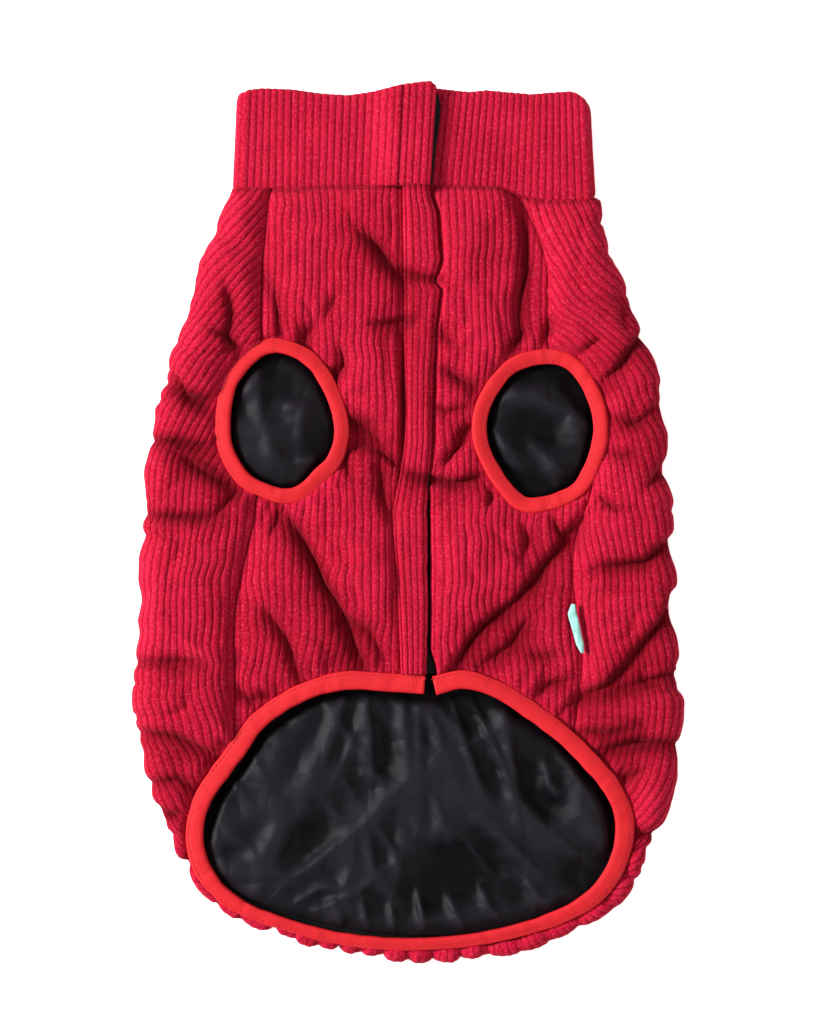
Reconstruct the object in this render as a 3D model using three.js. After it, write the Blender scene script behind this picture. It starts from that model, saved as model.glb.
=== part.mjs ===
// Dog winter coat of red wide-wale corduroy, laid flat on its back panel with the belly side up.
// Millimetres, +X to the right, +Y towards the collar, +Z up from the surface that it lies on.
// Every cloth piece is a closed wall: an outer surface, an inner surface and the edge between them.
import * as THREE from "three";

// Cloth
const WALE = 3.6; // pitch of the corduroy ribs
const RIB = 0.9; // height of a rib over its groove
const WALL = 4.5; // corduroy with its wadding
const SEAM_WALL = 3; // the same cloth pressed thin at a seam
const SEAM_GAP = 0.25; // each panel stops this far from a seam line
const GAP = 0.3; // between a panel and the binding beside it
const SEAM_DIP = 3.6; // how far a panel sinks towards a seam
const SEAM_SOFT = 13; // width over which it sinks

// Layers above the surface
const LINING_Z = [WALL + 0.3, WALL + 1.3]; // underside and top of the lining
const BELLY_Z = [6.3, 10.2, 13.4]; // inside, edge and middle of a belly panel
const LEAST_BELLY = 2; // least thickness of a belly panel under a crease
const TAPE_Z = [7.8, 10.2]; // hook tape beside the right belly panel
const STRIP_Z = [7, 11.3, 13.4, 15.2]; // front strip: low inside, inside, edge and middle
const STRIP_WIDTH = 18;
const STRIP_SOFT = 5; // width over which the strip rises from its edges
const COLLAR_WALL = 5;
const COLLAR_STEP = 5.4; // from one collar layer to the next
const NECK_BACK = 167; // the collar seam on the back panel
const LINING_TOP = 158; // where the lining ends below the collar
const HEM_TOP = -76.8; // where the front strip meets the hem binding

// Grids
const ROW = 19; // spacing of the rows along a panel
const HEM_ROW = 10; // closer rows round the rolled hem
const SPLIT = 2; // levels that a row has where an edge crosses it
const LEAST_CUT = 0.04; // an edge stays this share of a grid line away from a corner
const LONG_CUT = 4.5; // a longer stretch of edge gets a middle point
const PLAIN = 9; // spacing of the columns on a plain inside
const INNER_EDGE = 0.8; // the plain inside stops this much earlier, because its edge has longer sides
const FLAT_EDGE = 14; // the rolled band starts this far inside the side fold
const REACH = 88; // the most cloth that wraps over a side fold
const PATTERN_HALF = 220; // half the width of the back panel's flat pattern
const PATTERN_ROWS = [-236, -186, 174]; // the pattern's hem end, where its rows get longer, and its neck end
const LINING_GRID = [11, 28]; // spacing where the lining is folded, and where it is plain

// Back panel
const TOP_SLOPE = 0.02; // the wrapped cloth sinks this much for each millimetre inwards
const FOLDS_FROM = [-9, -2]; // ribs and folds fade in here, just before the side fold
const DIP_FROM = [2, 12]; // the dip at a seam fades in here, past the side fold
const THIN_WITHIN = [2, 14]; // the wall gets thinner towards a seam over this stretch
const INSIDE_SHARE = 0.7; // the inside follows this share of a fold
const NECK_TURN = 12; // width over which the collar seam goes from the back to the front

// Other pieces
const LINING_INSET = 12.5; // from the side fold to the lining's edge
const LINING_FOLDED = -84; // the lining is plain above this line
const UNDER_STRIP = 0.9; // the right belly panel stays this far below the front strip
const UNDER_SLOPE = 0.6; // and rises this steeply beside it
const TAPE_FROM = 8.2; // from the strip's left edge to the tape below it
const LEG_WIDTH = 8.4; // width of the leg-hole bindings
const BINDING_HALF = 2.4; // half the height of a binding
const BINDING_SIDES = 8; // sides of a binding's section
const BINDING_STEP = 7.5; // spacing of its sections
const LABEL_RISE = 1.7; // from the top of the belly to the tag

// A table: its column names, and one object for each row.
function table(names, rows) {
  const keys = names.split(" ");
  return rows.map((row) => Object.fromEntries(keys.map((key, i) => [key, row[i]])));
}

// Side folds of the body, from the neck down to the hem
const BODY = table("y left right", [
  [235, -71, 89],
  [200, -80, 91.5],
  [168, -88.5, 93.5],
  [150, -95, 96.5],
  [130, -103, 103],
  [110, -110, 112],
  [90, -116.5, 119.5],
  [66, -124, 125],
  [36, -130.5, 130],
  [0, -133.5, 132.5],
  [-40, -135.5, 134],
  [-80, -136.2, 135.6],
  [-105, -134.5, 135.6],
  [-130, -131, 133],
  [-155, -124.5, 126],
  [-175, -114, 116.5],
  [-192, -100, 103.5],
  [-205, -76, 83],
  [-212.5, -54, 64],
  [-218, -28, 44],
  [-220.5, -2, 24],
]);

// Section of the side fold at each height: its own height, and how far its top and underside curve in
const FOLD = table("y height top under", [
  [230, 12, 7, 7],
  [168, 13.5, 8, 7],
  [130, 17, 12, 7],
  [-100, 17, 12, 7],
  [-170, 15, 9, 7],
  [-200, 12.5, 6, 7],
  [-221, 12, 5.5, 7],
]);

// Side seams between the wrapped back and the belly
const SEAMS = table("y left right", [
  [178, -69.5, 47],
  [167, -70, 51],
  [154, -71, 59],
  [141, -72.5, 65],
  [128, -74, 69],
  [105, -75, 69.5],
  [88, -75, 70],
  [60, -76, 81],
  [20, -77, 92],
  [2, -78, 87],
  [-10, -81, 83.5],
  [-26, -84.5, 82],
  [-42, -87.5, 83.5],
  [-58, -88.5, 86.2],
  [-74, -88, 86.8],
  [-88, -88, 85],
  [-104, -88.5, 83],
  [-125, -86, 78],
]);

// Collar seam on the front
const NECK = table("x y", [
  [-92, 167.5],
  [-55, 167.5],
  [-35, 169],
  [10, 169],
  [45, 168.5],
  [50, 166.5],
  [60, 162.5],
  [75, 161],
  [96, 161],
]);

// Top edge of the collar: its left half lies over its right half
const COLLAR_LEFT_TOP = table("x y", [
  [-89, 207],
  [-86.5, 212],
  [-73, 217.5],
  [-59, 217],
  [-45, 215],
  [-31, 214],
  [-17, 216],
  [-3, 219],
  [14, 220.5],
]);
const COLLAR_RIGHT_TOP = table("x y", [
  [-4, 216],
  [14, 217.5],
  [30, 215.5],
  [39, 216.5],
  [60, 214.5],
  [81, 216],
  [87, 212.5],
  [90, 206],
  [92, 198],
]);

// Front strip, and the edge of the right belly panel beside its tape
const STRIP = table("y left right panel", [
  [172, -3.5, 10.2, 7.6],
  [163, -3.4, 10.3, 7.8],
  [155, -3.3, 13.2, 10.2],
  [131, -3, 15.2, 11.6],
  [120, -2.9, 12.4, 10],
  [116, -2.9, 15.2, 10.6],
  [100, -2.8, 13.5, 10.4],
  [70, -2.7, 11.7, 9.4],
  [40, -2.5, 11, 8.8],
  [25, -4.5, 10.2, 9.2],
  [4, -8.7, 8.8, 10.6],
  [-14, -7.8, 8.9, 10.7],
  [-44, -5.8, 9.1, 10.8],
  [-64, -4.8, 8.8, 10.8],
  [-72, -4.5, 8.5, 12.8],
  [-88, -4, 8.2, 15.2],
]);

// Middle lines of the leg-hole bindings, going round from the top
const LEG_LEFT = table("x y z", [
  [-67, 88, 10.8],
  [-54, 84, 11],
  [-46, 77, 11],
  [-37, 60, 11.2],
  [-34, 44, 11.4],
  [-38, 30, 11.2],
  [-45, 23, 11],
  [-54, 14.5, 10.8],
  [-63, 12.5, 10.8],
  [-72, 15, 10.8],
  [-83, 21, 11],
  [-92, 36, 11.4],
  [-93.5, 50, 11.6],
  [-90, 69, 11.4],
  [-83, 79, 11],
  [-75, 86, 10.8],
]);
const LEG_RIGHT = table("x y z", [
  [69, 82.5, 10.8],
  [56, 80, 10.8],
  [48, 75, 11],
  [37, 58, 11.2],
  [35, 45, 11.4],
  [37.5, 34, 11.2],
  [48, 16.5, 11],
  [57, 8.5, 10.8],
  [67, 8.5, 10.8],
  [77, 11.5, 10.8],
  [86, 17.5, 11],
  [95, 38, 11.4],
  [95.5, 52, 11.6],
  [92, 64, 11.4],
  [85, 75.5, 11],
  [78, 81, 10.8],
]);

// Middle line of the hem binding, from its left end at the centre front round to its right end
const HEM = table("x y z width", [
  [7.6, -82, 12.2, 9.4],
  [-10, -81, 12, 9.4],
  [-32, -80, 11.6, 9.4],
  [-50, -84.5, 11.4, 9],
  [-64, -91.5, 11.4, 9],
  [-77, -101.5, 11.6, 9],
  [-85, -112.5, 12, 9.4],
  [-95, -126, 12.2, 9.4],
  [-103, -138, 12, 9.4],
  [-107, -150, 11.8, 9],
  [-107.5, -162, 11.4, 9],
  [-103.5, -175, 10.8, 8.6],
  [-93, -188, 10.2, 8],
  [-79, -196.5, 9.6, 7],
  [-62, -202.5, 9.2, 6.4],
  [-42, -208.3, 9, 6.4],
  [-20, -211.6, 9, 6.4],
  [0, -212.6, 9, 6.4],
  [30, -210.6, 9, 6.4],
  [57, -205, 9.2, 6.8],
  [77, -198, 9.6, 7.4],
  [92, -189, 10.4, 8.4],
  [101.5, -177.5, 11, 9],
  [107, -163, 11.6, 9.2],
  [107.5, -148, 12, 9.4],
  [101, -133, 12.2, 9.4],
  [91, -121, 12, 9.4],
  [78, -108, 11.6, 9],
  [58, -93, 11.4, 9],
  [43, -84, 11.4, 9],
  [27, -79.5, 11.6, 9.4],
  [12.4, -82.6, 11.4, 9.4],
]);

// Main creases: three points, the depth (a ridge where negative) and the half-width
const CREASES = table("x1 y1 x2 y2 x3 y3 depth width", [
  [-94, 116, -91, 96, -93, 78, 2.8, 5],
  [-120, 76, -111, 62, -99, 56, 2.4, 5],
  [-134, 41, -116, 40, -98, 36, 2.2, 5],
  [-113, 32, -99, 24, -85, 16, 2.4, 5],
  [-137, 4, -124, 3, -104, 2, 3, 6],
  [-124, -48, -105, -64, -89, -74, -1.6, 7],
  [-138, -70, -115, -70, -89, -74, 2, 6],
  [-137, -105, -116, -108, -94, -120, 2.2, 5],
  [-133, -132, -116, -129, -105, -136, 2, 5],
  [-25, 148, -14, 134, -2, 118, 2.6, 6],
  [-68, 122, -65, 106, -65, 92, 1.6, 5],
  [-61, 4, -46, -22, -34, -46, 3.4, 6],
  [-34, -46, -28, -62, -21, -76, 2.8, 5],
  [-33, -48, -19, -56, -10, -74, 1.8, 5],
  [-73, -44, -62, -60, -53, -82, 2.2, 5],
  [-32, 60, -24, 50, -14, 40, 1.2, 6],
  [56, 150, 59, 124, 55, 86, 2.8, 6],
  [17, 78, 24, 70, 38, 66, 1.8, 5],
  [9, 22, 23, 20, 36, 22, 2.2, 5],
  [84, -1, 66, -22, 53, -40, 3.2, 6],
  [53, -40, 36, -52, 20, -76, 3, 6],
  [64, -48, 51, -62, 36, -74, 2.2, 5],
  [62, -90, 70, -82, 81, -80, 1.8, 5],
  [122, 98, 110, 86, 96, 68, 2.6, 6],
  [99, 54, 115, 48, 128, 60, 2, 5],
  [134, 30, 126, 22, 119, 16, 1.8, 5],
  [136, -6, 117, -20, 95, -23, 2.8, 6],
  [137, -38, 126, -50, 110, -68, 3.2, 6],
  [110, -68, 97, -82, 78, -94, 2.6, 6],
  [138, -75, 120, -80, 99, -88, 2.2, 5],
  [83, -105, 98, -107, 116, -102, 2, 5],
  [94, -116, 113, -111, 138, -112, 2.8, 6],
]);

// Soft mounds between the creases: centre, radii and height
const MOUNDS = table("x y rx ry height", [
  [-36, 128, 30, 28, 1.6],
  [-48, 108, 22, 14, 0.8],
  [-20, 80, 16, 18, 0.8],
  [-62, -30, 18, 24, 1.6],
  [-22, -24, 20, 26, 1.8],
  [-50, -70, 16, 14, 1],
  [34, 130, 20, 30, 1.4],
  [26, 58, 12, 10, 0.6],
  [34, -10, 24, 22, 1.8],
  [72, -50, 14, 18, 1.2],
  [30, -40, 14, 14, 0.8],
  [-112, -20, 18, 30, 1.4],
  [-114, -90, 16, 16, 1],
  [112, 0, 16, 14, 1],
  [114, -40, 14, 14, 1.2],
  [116, -96, 16, 12, 1],
]);

// Folds of the lining inside the open hem
const LINING_FOLDS = table("x1 y1 x2 y2 x3 y3 depth width", [
  [-33, -90, -42, -118, -53, -146, -1.6, 5],
  [-20, -90, -19, -110, -20, -132, -1.4, 4],
  [-3, -92, -1, -114, 0, -132, -1.2, 5],
  [-64, -184, -22, -150, 8, -124, -2.2, 6],
  [-22, -156, -18, -174, -6, -190, -1.4, 5],
  [48, -94, 54, -138, 86, -168, -2, 6],
  [34, -130, 44, -158, 68, -186, -1.8, 6],
  [80, -134, 92, -150, 100, -164, -1.4, 5],
]);

// Smooth maths
const clamp = (t) => Math.min(Math.max(t, 0), 1);
const mix = (a, b, t) => a + (b - a) * t;
const smooth = (low, high, t) => {
  const s = clamp((t - low) / (high - low));
  return s * s * (3 - 2 * s);
};
const swell = (t) => Math.sqrt(1 - (1 - clamp(t)) ** 2); // 0 at an edge, 1 past a soft shoulder

// A column of a table at a value of its key column, between the two rows around it.
function read(rows, key, value, column) {
  const rising = rows[rows.length - 1][key] > rows[0][key];
  let i = 1;
  while (i < rows.length - 1 && (rising ? rows[i][key] < value : rows[i][key] > value)) i += 1;
  const [a, b] = [rows[i - 1], rows[i]];
  return mix(a[column], b[column], clamp((value - a[key]) / (b[key] - a[key])));
}

// A smooth line through plan points, as a list of points about a step apart.
function smoothLine(points, closed, step = 3) {
  const knots = points.map(([x, y]) => new THREE.Vector3(x, y, 0));
  const curve = new THREE.CatmullRomCurve3(knots, closed, "centripetal");
  const count = Math.round(curve.getLength() / step);
  return curve.getSpacedPoints(count).slice(0, closed ? count : count + 1).map((p) => [p.x, p.y]);
}

// The point of a closed loop nearest to a plan point, and how far outside the loop that plan point is.
function nearest(loop, x, y) {
  let best = Infinity;
  let [foundX, foundY] = [0, 0];
  let inside = false;
  let a = loop[loop.length - 1];
  for (const b of loop) {
    const [dx, dy] = [b[0] - a[0], b[1] - a[1]];
    const t = clamp(((x - a[0]) * dx + (y - a[1]) * dy) / (dx * dx + dy * dy));
    const qx = a[0] + dx * t;
    const qy = a[1] + dy * t;
    const square = (x - qx) * (x - qx) + (y - qy) * (y - qy);
    if (square < best) {
      best = square;
      foundX = qx;
      foundY = qy;
    }
    if (a[1] > y !== b[1] > y && x < (dx * (y - a[1])) / dy + a[0]) inside = !inside;
    a = b;
  }
  return { x: foundX, y: foundY, out: inside ? -Math.sqrt(best) : Math.sqrt(best) };
}

// Distance from a plan point to a curve through three points, and how near it is to the curve's ends.
function alongCrease(crease, x, y) {
  let best = Infinity;
  let along = 0;
  const legs = [
    [crease.x1, crease.y1, crease.x2, crease.y2, 0],
    [crease.x2, crease.y2, crease.x3, crease.y3, 0.5],
  ];
  for (const [ax, ay, bx, by, start] of legs) {
    const t = clamp(((x - ax) * (bx - ax) + (y - ay) * (by - ay)) / ((bx - ax) ** 2 + (by - ay) ** 2));
    const distance = Math.hypot(x - mix(ax, bx, t), y - mix(ay, by, t));
    if (distance < best) {
      best = distance;
      along = start + t / 2;
    }
  }
  return { distance: best, along };
}

// Depth of a set of creases at a plan point: a soft trough with a low shoulder on each side.
function creaseDepth(creases, x, y) {
  let depth = 0;
  for (const crease of creases) {
    const { distance, along } = alongCrease(crease, x, y);
    const reach = distance / crease.width;
    if (reach > 3.5) continue;
    const taper = 0.35 + 0.65 * Math.sin(along * Math.PI);
    depth += crease.depth * taper * (Math.exp(-reach * reach) - 0.3 * Math.exp(-((reach - 1.9) ** 2)));
  }
  return depth;
}

function moundHeight(x, y) {
  const one = (m) => m.height * Math.exp(-(((x - m.x) / m.rx) ** 2) - ((y - m.y) / m.ry) ** 2);
  return MOUNDS.reduce((sum, m) => sum + one(m), 0);
}

const rib = (u) => RIB * (0.5 + 0.5 * Math.cos((2 * Math.PI * u) / WALE));

// Plan lines
const down = (rows, column) => rows.map((row) => [row[column], row.y]);
const bodyLoop = smoothLine([...down(BODY, "left"), ...down(BODY, "right").reverse()], true);
const beltLoop = [
  ...smoothLine(down(SEAMS, "left"), false, 4),
  ...smoothLine(down(SEAMS, "right").reverse(), false, 4),
];
const legLeftLoop = smoothLine(LEG_LEFT.map((row) => [row.x, row.y]), true, 2);
const legRightLoop = smoothLine(LEG_RIGHT.map((row) => [row.x, row.y]), true, 2);
const hemLine = smoothLine(HEM.map((row) => [row.x, row.y]), false, 3);
const neckLine = (x) => read(NECK, "x", x, "y");

// A value of the binding's table at the plan point nearest to it.
function nearestRow(rows, x, y, column) {
  let sum = 0;
  let weights = 0;
  for (const row of rows) {
    const weight = 1 / (1 + (row.x - x) ** 2 + (row.y - y) ** 2) ** 2;
    sum += weight * row[column];
    weights += weight;
  }
  return sum / weights;
}

// How far a plan point lies outside the bindings and the belly.
const outsideLegs = (x, y) =>
  Math.min(nearest(legLeftLoop, x, y).out, nearest(legRightLoop, x, y).out) - LEG_WIDTH / 2;
const outsideHem = (x, y) => nearest(hemLine, x, y).out - nearestRow(HEM, x, y, "width") / 2;
const outsideBindings = (x, y) => Math.min(outsideLegs(x, y), outsideHem(x, y));
const outsideBelly = (x, y) => nearest(beltLoop, x, y).out;

// The part of a grid of columns and rows where keep is positive, cut off smoothly at its edge.
// A cell that the edge crosses is split into shorter levels, and its neighbours take up the new corners.
function trimmedGrid(columns, rows, keep, split = SPLIT) {
  const spots = new Map();
  const points = [];
  const triangles = [];
  const spot = (name, make) => {
    if (!spots.has(name)) {
      spots.set(name, points.length);
      points.push(make());
    }
    return spots.get(name);
  };
  const height = (level) => {
    const row = Math.min(Math.floor(level / split), rows.length - 2);
    return mix(rows[row], rows[row + 1], level / split - row);
  };
  const known = new Map();
  const value = (i, level) => {
    const name = i * 100000 + level;
    if (!known.has(name)) known.set(name, keep(columns[i], height(level)));
    return known.get(name);
  };
  const corner = (i, level) => spot(`${i} ${level}`, () => [columns[i], height(level)]);
  const crossing = (i, level, k, other) => {
    const [a, b] = value(i, level) > 0 ? [[i, level], [k, other]] : [[k, other], [i, level]];
    return spot(`${a} to ${b}`, () => {
      let [low, high] = [0, 1];
      const at = (t) => [mix(columns[a[0]], columns[b[0]], t), mix(height(a[1]), height(b[1]), t)];
      for (let n = 0; n < 12; n += 1) {
        const middle = (low + high) / 2;
        if (keep(...at(middle)) > 0) low = middle;
        else high = middle;
      }
      return at(Math.min(Math.max(low, LEAST_CUT), 1 - LEAST_CUT));
    });
  };
  // A long stretch of edge inside a cell gets a middle point on the true edge.
  const bend = (a, b) => {
    const [p, q] = [points[a], points[b]];
    const length = Math.hypot(q[0] - p[0], q[1] - p[1]);
    if (length < LONG_CUT) return [];
    const middle = [(p[0] + q[0]) / 2, (p[1] + q[1]) / 2];
    const across = [(q[1] - p[1]) / length, (p[0] - q[0]) / length];
    const at = (t) => [middle[0] + across[0] * t, middle[1] + across[1] * t];
    let [low, high] = [-length / 5, length / 5];
    const lowKept = keep(...at(low)) > 0;
    if (lowKept === keep(...at(high)) > 0) return [];
    for (let n = 0; n < 10; n += 1) {
      const half = (low + high) / 2;
      if (keep(...at(half)) > 0 === lowKept) low = half;
      else high = half;
    }
    return [spot(`bend ${a} ${b}`, () => at(low))];
  };
  // Whether a cell is kept, left out or crossed by the edge.
  const size = (i, j) => Math.hypot(columns[i + 1] - columns[i], rows[j + 1] - rows[j]);
  const states = new Map();
  const state = (i, j) => {
    if (i < 0 || i + 1 >= columns.length) return "out";
    const name = i * 1000 + j;
    if (states.has(name)) return states.get(name);
    const [low, high] = [j * split, (j + 1) * split];
    const ends = [value(i, low), value(i + 1, low), value(i, high), value(i + 1, high)];
    const all = [...ends];
    if (Math.min(...ends.map(Math.abs)) < size(i, j)) {
      const middle = (columns[i] + columns[i + 1]) / 2;
      for (let k = 0; k <= split; k += 1) {
        all.push(value(i, j * split + k), value(i + 1, j * split + k), keep(middle, height(j * split + k)));
      }
    }
    const found = all.every((d) => d > 0) ? "kept" : all.some((d) => d > 0) ? "crossed" : "out";
    states.set(name, found);
    return found;
  };
  const levels = (i, j) => {
    const shared = state(i - 1, j) === "crossed" || state(i, j) === "crossed";
    return shared ? Array.from({ length: split + 1 }, (_, k) => j * split + k) : [j * split, (j + 1) * split];
  };
  const whole = (i, j) => {
    const [left, right] = [levels(i, j), levels(i + 1, j)];
    let [l, r] = [0, 0];
    while (l + 1 < left.length || r + 1 < right.length) {
      const [a, b] = [corner(i, left[l]), corner(i + 1, right[r])];
      const stepLeft = r + 1 >= right.length || (l + 1 < left.length && left[l + 1] < right[r + 1]);
      triangles.push([a, b, stepLeft ? corner(i, left[l + 1]) : corner(i + 1, right[r + 1])]);
      if (stepLeft) l += 1;
      else r += 1;
    }
  };
  const cut = (i, level) => {
    const ring = [[i, level], [i + 1, level], [i + 1, level + 1], [i, level + 1]];
    const polygon = [];
    ring.forEach(([a, b], n) => {
      const [c, d] = ring[(n + 1) % 4];
      const [here, there] = [value(a, b) > 0, value(c, d) > 0];
      if (here) polygon.push({ id: corner(a, b) });
      if (here !== there) polygon.push({ id: crossing(a, b, c, d), leaves: here });
    });
    if (polygon.length < 3) return;
    const after = (n) => polygon[(n + 1) % polygon.length].id;
    const ids = polygon.flatMap((p, n) => (p.leaves ? [p.id, ...bend(p.id, after(n))] : [p.id]));
    const hub = polygon.find((p) => p.leaves === undefined) ?? polygon[0];
    const first = ids.indexOf(hub.id);
    for (let n = 1; n + 1 < ids.length; n += 1) {
      triangles.push([ids[first], ids[(first + n) % ids.length], ids[(first + n + 1) % ids.length]]);
    }
  };
  for (let j = 0; j + 1 < rows.length; j += 1) {
    for (let i = 0; i + 1 < columns.length; i += 1) {
      if (state(i, j) === "kept") whole(i, j);
      if (state(i, j) === "crossed") for (let k = 0; k < split; k += 1) cut(i, j * split + k);
    }
  }
  return { points, triangles: largestPatch(triangles) };
}

// The largest connected set of triangles, so that a stray corner doesn't make a body of its own.
function largestPatch(triangles) {
  const parent = new Map();
  const root = (a) => {
    let r = a;
    while (parent.get(r) !== r) r = parent.get(r);
    parent.set(a, r);
    return r;
  };
  triangles.flat().forEach((a) => parent.set(a, a));
  triangles.forEach(([a, b, c]) => {
    parent.set(root(a), root(b));
    parent.set(root(b), root(c));
  });
  const sizes = new Map();
  triangles.forEach(([a]) => sizes.set(root(a), (sizes.get(root(a)) ?? 0) + 1));
  const [largest] = [...sizes].sort((a, b) => b[1] - a[1])[0];
  return triangles.filter(([a]) => root(a) === largest);
}

// The edge loop of a patch, in the direction of its triangles.
function edgeLoop(triangles) {
  const edges = new Map();
  const key = (a, b) => `${a} ${b}`;
  for (const [a, b, c] of triangles) {
    [[a, b], [b, c], [c, a]].forEach(([p, q]) => edges.set(key(p, q), [p, q]));
  }
  const next = new Map();
  for (const [p, q] of edges.values()) if (!edges.has(key(q, p))) next.set(p, q);
  const loop = [next.keys().next().value];
  while (next.get(loop[loop.length - 1]) !== loop[0]) loop.push(next.get(loop[loop.length - 1]));
  return loop;
}

const apart = (p, q) => Math.hypot(p[0] - q[0], p[1] - q[1], p[2] - q[2]);

// A closed wall from an outer and an inner patch: both are joined along their edge loops.
function wall(outer, inner) {
  const shift = outer.points.length;
  const points = [...outer.points, ...inner.points];
  const triangles = [
    ...outer.triangles,
    ...inner.triangles.map(([a, b, c]) => [a + shift, c + shift, b + shift]),
  ];
  const a = outer.edge;
  const b = inner.edge.map((i) => i + shift);
  const away = b.map((id) => apart(points[id], points[a[0]]));
  const start = away.indexOf(Math.min(...away));
  const at = (loop, i) => loop[i % loop.length];
  let [i, j] = [0, start];
  while (i < a.length || j < start + b.length) {
    const stepOuter = apart(points[at(a, i + 1)], points[at(b, j)]);
    const stepInner = apart(points[at(a, i)], points[at(b, j + 1)]);
    const outerNext = j >= start + b.length || (i < a.length && stepOuter <= stepInner);
    if (outerNext) {
      triangles.push([at(a, i + 1), at(a, i), at(b, j)]);
      i += 1;
    } else {
      triangles.push([at(b, j), at(b, j + 1), at(a, i)]);
      j += 1;
    }
  }
  return { points, triangles };
}

// A patch in space from a trimmed grid.
function patch(grid, place, turned = false) {
  const triangles = turned ? grid.triangles.map(([a, b, c]) => [a, c, b]) : grid.triangles;
  return { points: grid.points.map(([u, v]) => place(u, v)), triangles, edge: edgeLoop(triangles) };
}

function steps(from, to, step) {
  const count = Math.max(Math.round(Math.abs(to - from) / step), 1);
  return Array.from({ length: count + 1 }, (_, i) => mix(from, to, i / count));
}

// Columns on the crests and in the grooves of the ribs.
const ribColumns = (from, to) => {
  const half = WALE / 2;
  return steps(Math.floor(from / half) * half, Math.ceil(to / half) * half, half);
};

// A panel that lies flat: top and bottom are heights over the plan.
function panel(box, keep, top, bottom) {
  const rows = steps(...box.y, ROW);
  const outer = trimmedGrid(ribColumns(...box.x), rows, keep);
  const inner = trimmedGrid(steps(...box.x, PLAIN), rows, keep);
  return wall(patch(outer, (x, y) => [x, y, top(x, y)]), patch(inner, (x, y) => [x, y, bottom(x, y)]));
}

// A strip between a left and a right line, with its columns along it.
function strip(y, left, right, count, top, bottom, step = ROW) {
  const place = (height) => (share, along) => {
    const x = mix(left(along), right(along), share);
    return [x, along, height(x, along, share)];
  };
  const rows = steps(...y, step);
  const all = () => 1;
  return wall(
    patch(trimmedGrid(steps(0, 1, 1 / count), rows, all), place(top)),
    patch(trimmedGrid(steps(0, 1, 1 / Math.min(count, 3)), rows, all), place(bottom)),
  );
}

// The back panel, in its own flat pattern: past the side fold, the pattern wraps up and over.
const quarter = (a, b) => (Math.PI / 2) * Math.sqrt((a * a + b * b) / 2);

function wrapped(u, v) {
  const q = nearest(bodyLoop, u, v);
  const height = read(FOLD, "y", q.y, "height");
  const onTop = q.out > 0;
  const side = height / 2;
  const reach = read(FOLD, "y", q.y, onTop ? "top" : "under");
  const length = quarter(reach, side);
  const turn = (clamp(Math.abs(q.out) / length) * Math.PI) / 2;
  const past = Math.max(Math.abs(q.out) - length, 0);
  const inward = reach * (1 - Math.cos(turn)) + past;
  const rise = side * Math.sin(turn);
  const out = Math.abs(q.out) < 1e-6 ? 1e-6 : q.out;
  const [nx, ny] = [(u - q.x) / out, (v - q.y) / out];
  const tilt = Math.hypot(side * Math.cos(turn), reach * Math.sin(turn));
  const level = (side * Math.cos(turn)) / tilt;
  const up = (reach * Math.sin(turn)) / tilt;
  return {
    x: q.x - nx * inward,
    y: q.y - ny * inward,
    z: onTop ? side + rise - TOP_SLOPE * past : side - rise,
    out: q.out,
    outward: { x: nx * level, y: ny * level, z: onTop ? up : -up },
  };
}

// How far the back panel's cloth lies from the seams and bindings that end it on the front.
const outsideFront = (x, y) => Math.min(outsideBelly(x, y) - SEAM_GAP, outsideBindings(x, y) - GAP);

function backSurface(u, v, inside) {
  const base = wrapped(u, v);
  const { outward } = base;
  const front = Math.max(outsideFront(base.x, base.y), 0) + Math.max(-base.out, 0);
  const soft = swell(front / SEAM_SOFT);
  const over = smooth(...FOLDS_FROM, base.out);
  const folds = over * (creaseDepth(CREASES, base.x, base.y) - moundHeight(base.x, base.y));
  const dip = SEAM_DIP * (1 - soft) * smooth(...DIP_FROM, base.out);
  const thick = mix(SEAM_WALL, WALL, smooth(...THIN_WITHIN, front));
  const lift = inside ? -dip - thick - INSIDE_SHARE * folds : rib(u) * over - dip - folds;
  const z = base.z + outward.z * lift;
  return [base.x + outward.x * lift, base.y + outward.y * lift, inside ? z : Math.max(z, 0)];
}

function backKeep(u, v, inside) {
  const { out } = nearest(bodyLoop, u, v);
  if (out < -3 * FLAT_EDGE) return -1;
  const [x, y, z] = backSurface(u, v, inside);
  const neck = mix(neckLine(x), NECK_BACK, clamp(-out / NECK_TURN)) - GAP;
  const trim = inside ? INNER_EDGE : 0;
  const onFront = out > 0 || z > LINING_Z[1] + GAP / 2;
  const front = onFront ? Math.min(outsideFront(x, y) - trim, REACH - out) : FLAT_EDGE;
  return Math.min(out + FLAT_EDGE, front, neck - y);
}

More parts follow.
